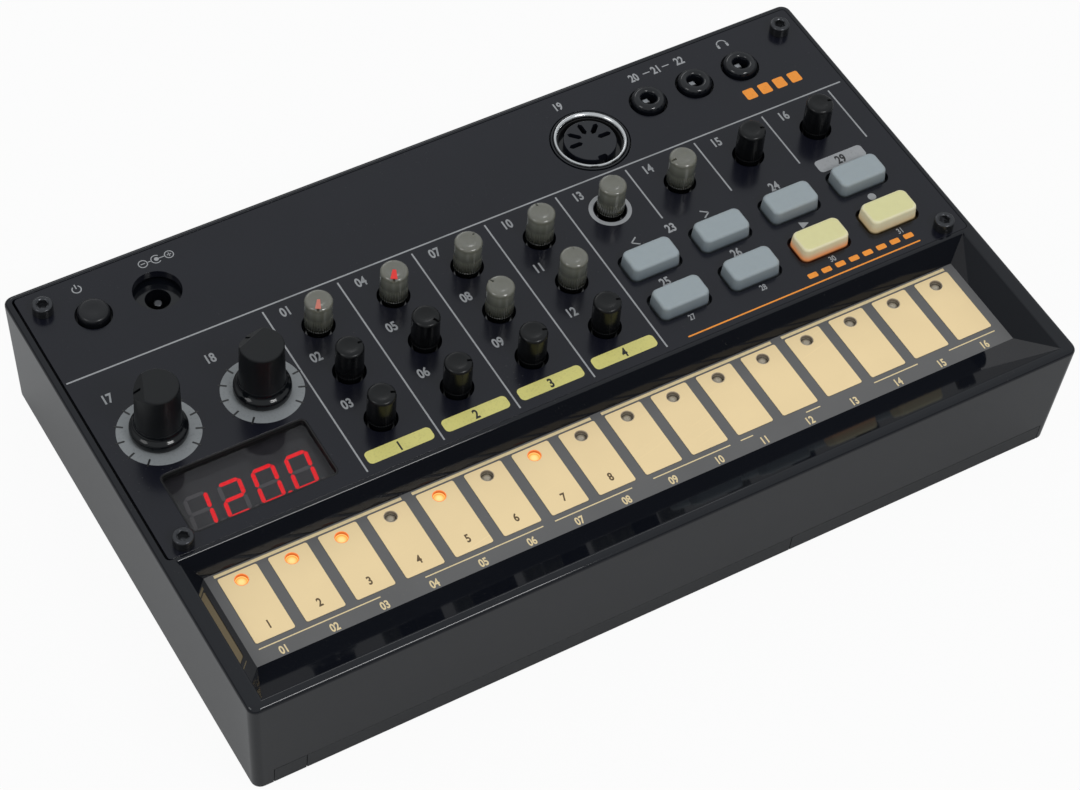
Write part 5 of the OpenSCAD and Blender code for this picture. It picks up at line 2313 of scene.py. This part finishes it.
    @staticmethod
    def _yellow_plates() -> None:
        """Prints the yellow plates under the knob columns and their numbers."""
        sheet = PrintSheet("yellow_plates", "print_yellow", FINISHES.yellow_ink)
        dark = PrintSheet("plate_numbers", "print_dark", FINISHES.dark_ink, OVERPRINT_Z)
        for column in range(1, 5):
            x = column_x(column)
            sheet.patch(x - 7.5, -16.05, x + 7.5, -12.75, 1.0)
            dark.number(str(column), x, -14.4, 2.3)
        sheet.finish_sheet()
        dark.finish_sheet()

    def _dial_rings(self) -> None:
        """Prints the grey ring round each dial and its eleven ticks."""
        rings = PrintSheet("dial_rings", "print_grey", FINISHES.ring_ink)
        ticks = PrintSheet("dial_ticks", "print_dark", FINISHES.dark_ink, OVERPRINT_Z)
        for x, y in DIAL_PLACES.values():
            rings.arc(x, y, *self.ring)
            for index in range(self.ticks):
                angle = math.radians(90 + (self.ticks // 2 - index) * self.tick_angle)
                ends = ((x + r * math.cos(angle), y + r * math.sin(angle)) for r in self.tick)
                ticks.stroke(*ends, 0.4)
        rings.finish_sheet()
        ticks.finish_sheet()

    def _keyboard(self) -> None:
        """Prints the cream lines, the row of numbers and the numbers on the keys."""
        sheet = PrintSheet("keyboard_marks", "print_cream", FINISHES.cream_ink, PLATE_Z)
        for x0, x1 in self.bars:
            sheet.patch(x0, -23.15, x1, -22.45)
        for x0, x1 in self.dashes:
            sheet.patch(x0, -42.03, x1, -41.77, 0.04)
        for index in range(KEY_COUNT):
            sheet.number(f"{index + 1:02d}", key_x(index), -43.95, 1.9)
        sheet.finish_sheet()
        brown = PrintSheet("key_numbers", "print_dark", FINISHES.brown_ink, PAD_Z)
        for index in range(KEY_COUNT // 2):
            brown.number(str(index + 1), key_x(index), -37.5, 2.0)
        brown.finish_sheet()


# ---- studio ----


@dataclass
class Studio:
    """The camera, the pale floor and the soft light."""

    place: Corner = (-232.1, -343.0, 530.8)
    right: Corner = (0.8652, -0.4979, 0.0589)
    up: Corner = (0.3602, 0.6991, 0.6177)
    back: Corner = (-0.3487, -0.5132, 0.7842)
    lens: float = 104.12
    sky: Colour = (0.94, 0.98, 1.0)
    sky_levels: Spot = (0.14, 0.76)
    lamps: tuple[tuple[str, Corner, Spot, float], ...] = (
        ("front_lamp", (0.17, -0.68, 0.8), (0.3, 0.16), 2.6),
        ("left_lamp", (-0.78, -0.02, 0.72), (0.32, 0.32), 1.0),
        ("back_lamp", (0.2, 0.85, 0.55), (0.5, 0.12), 0.5),
    )

    def build(self) -> None:
        """Builds the studio."""
        bpy.context.scene.view_settings.view_transform = "Standard"
        self._camera()
        self._floor()
        self._world()
        for lamp in self.lamps:
            self._lamp(*lamp)

    def _camera(self) -> None:
        """Places the camera."""
        data = bpy.data.cameras.new("camera")
        data.lens = self.lens
        data.sensor_width = 36.0
        data.clip_start = 0.01
        camera = bpy.data.objects.new("camera", data)
        bpy.context.scene.collection.objects.link(camera)
        axes = Matrix((self.right, self.up, self.back)).transposed().to_4x4()
        camera.matrix_world = Matrix.Translation(metres(*self.place)) @ axes
        bpy.context.scene.camera = camera

    @staticmethod
    def _floor() -> None:
        """Lays the pale floor, which shows nearly white and keeps the shadow."""
        deselect_all()
        bpy.ops.mesh.primitive_plane_add(size=12.0, location=(0.0, 0.0, -0.0004))
        floor = settle("floor")
        shade = Shade("floor_paper")
        paper = shade.noise(3.0, 3.0)
        shade.dress({"Base Color": shade.blend(paper, srgb(184, 184, 184), srgb(190, 190, 190))})
        shade.dress({"Roughness": 0.9, "Specular IOR Level": 0.1})
        glow = shade.wire("ShaderNodeEmission", {}, {"Color": (1.0, 1.0, 1.0), "Strength": 1.0})
        shown = shade.seen_as_backdrop(0.15) * 0.95
        inputs = {0: shown, 1: Wire(shade, shade.surface.outputs[0]), 2: glow}
        shade.feed(shade.out.inputs[0], shade.wire("ShaderNodeMixShader", {}, inputs))
        floor.data.materials.append(shade.material)

    def _world(self) -> None:
        """Lights the scene from all round, and shows the white backdrop."""
        world = bpy.data.worlds.new("studio")
        world.use_nodes = True
        tree = Tree(world.node_tree)
        ray = tree.wire("ShaderNodeTexCoord", output="Generated")
        rise = tree.wire("ShaderNodeSeparateXYZ", {}, {0: ray}, output=2)
        height = tree.band(rise, 0.05, 0.55)
        low, high = (shaded(self.sky, level) for level in self.sky_levels)
        dome = tree.blend(height, low, high)
        soft = tree.wire("ShaderNodeBackground", {}, {"Color": dome, "Strength": 1.0})
        white = tree.wire("ShaderNodeBackground", {}, {"Color": (1.0, 1.0, 1.0), "Strength": 1.0})
        shown = tree.seen_as_backdrop((1 - tree.band(rise, 0.0, 0.2)) * 0.2)
        mixed = tree.wire("ShaderNodeMixShader", {}, {0: shown, 1: soft, 2: white})
        tree.node("ShaderNodeOutputWorld", {}, {0: mixed})
        bpy.context.scene.world = world

    @staticmethod
    def _lamp(name: str, place: Corner, size: Spot, power: float) -> None:
        """Hangs a soft lamp that looks at the machine.

        Args:
            name: Name of the lamp.
            place: Its place in metres.
            size: Its width and depth in metres.
            power: Its power in watts.
        """
        data = bpy.data.lights.new(name, "AREA")
        data.shape = "RECTANGLE"
        data.size, data.size_y = size
        data.energy = power
        lamp = bpy.data.objects.new(name, data)
        bpy.context.scene.collection.objects.link(lamp)
        lamp.location = place
        lamp.rotation_euler = Vector(place).to_track_quat("Z", "Y").to_euler()


# ---- main ----


def main() -> None:
    """Builds every sub-assembly in order and reports its pieces."""
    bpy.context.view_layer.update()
    for assembly in (
        Case(),
        ControlPanel(),
        Keyboard(),
        Display(),
        Knobs(),
        Dials(),
        Buttons(),
        Sockets(),
        Inside(),
        Prints(),
        Studio(),
    ):
        LOG.info("-- %s", type(assembly).__name__)
        assembly.build()
    deselect_all()
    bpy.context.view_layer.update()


if __name__ == "__main__":
    main()
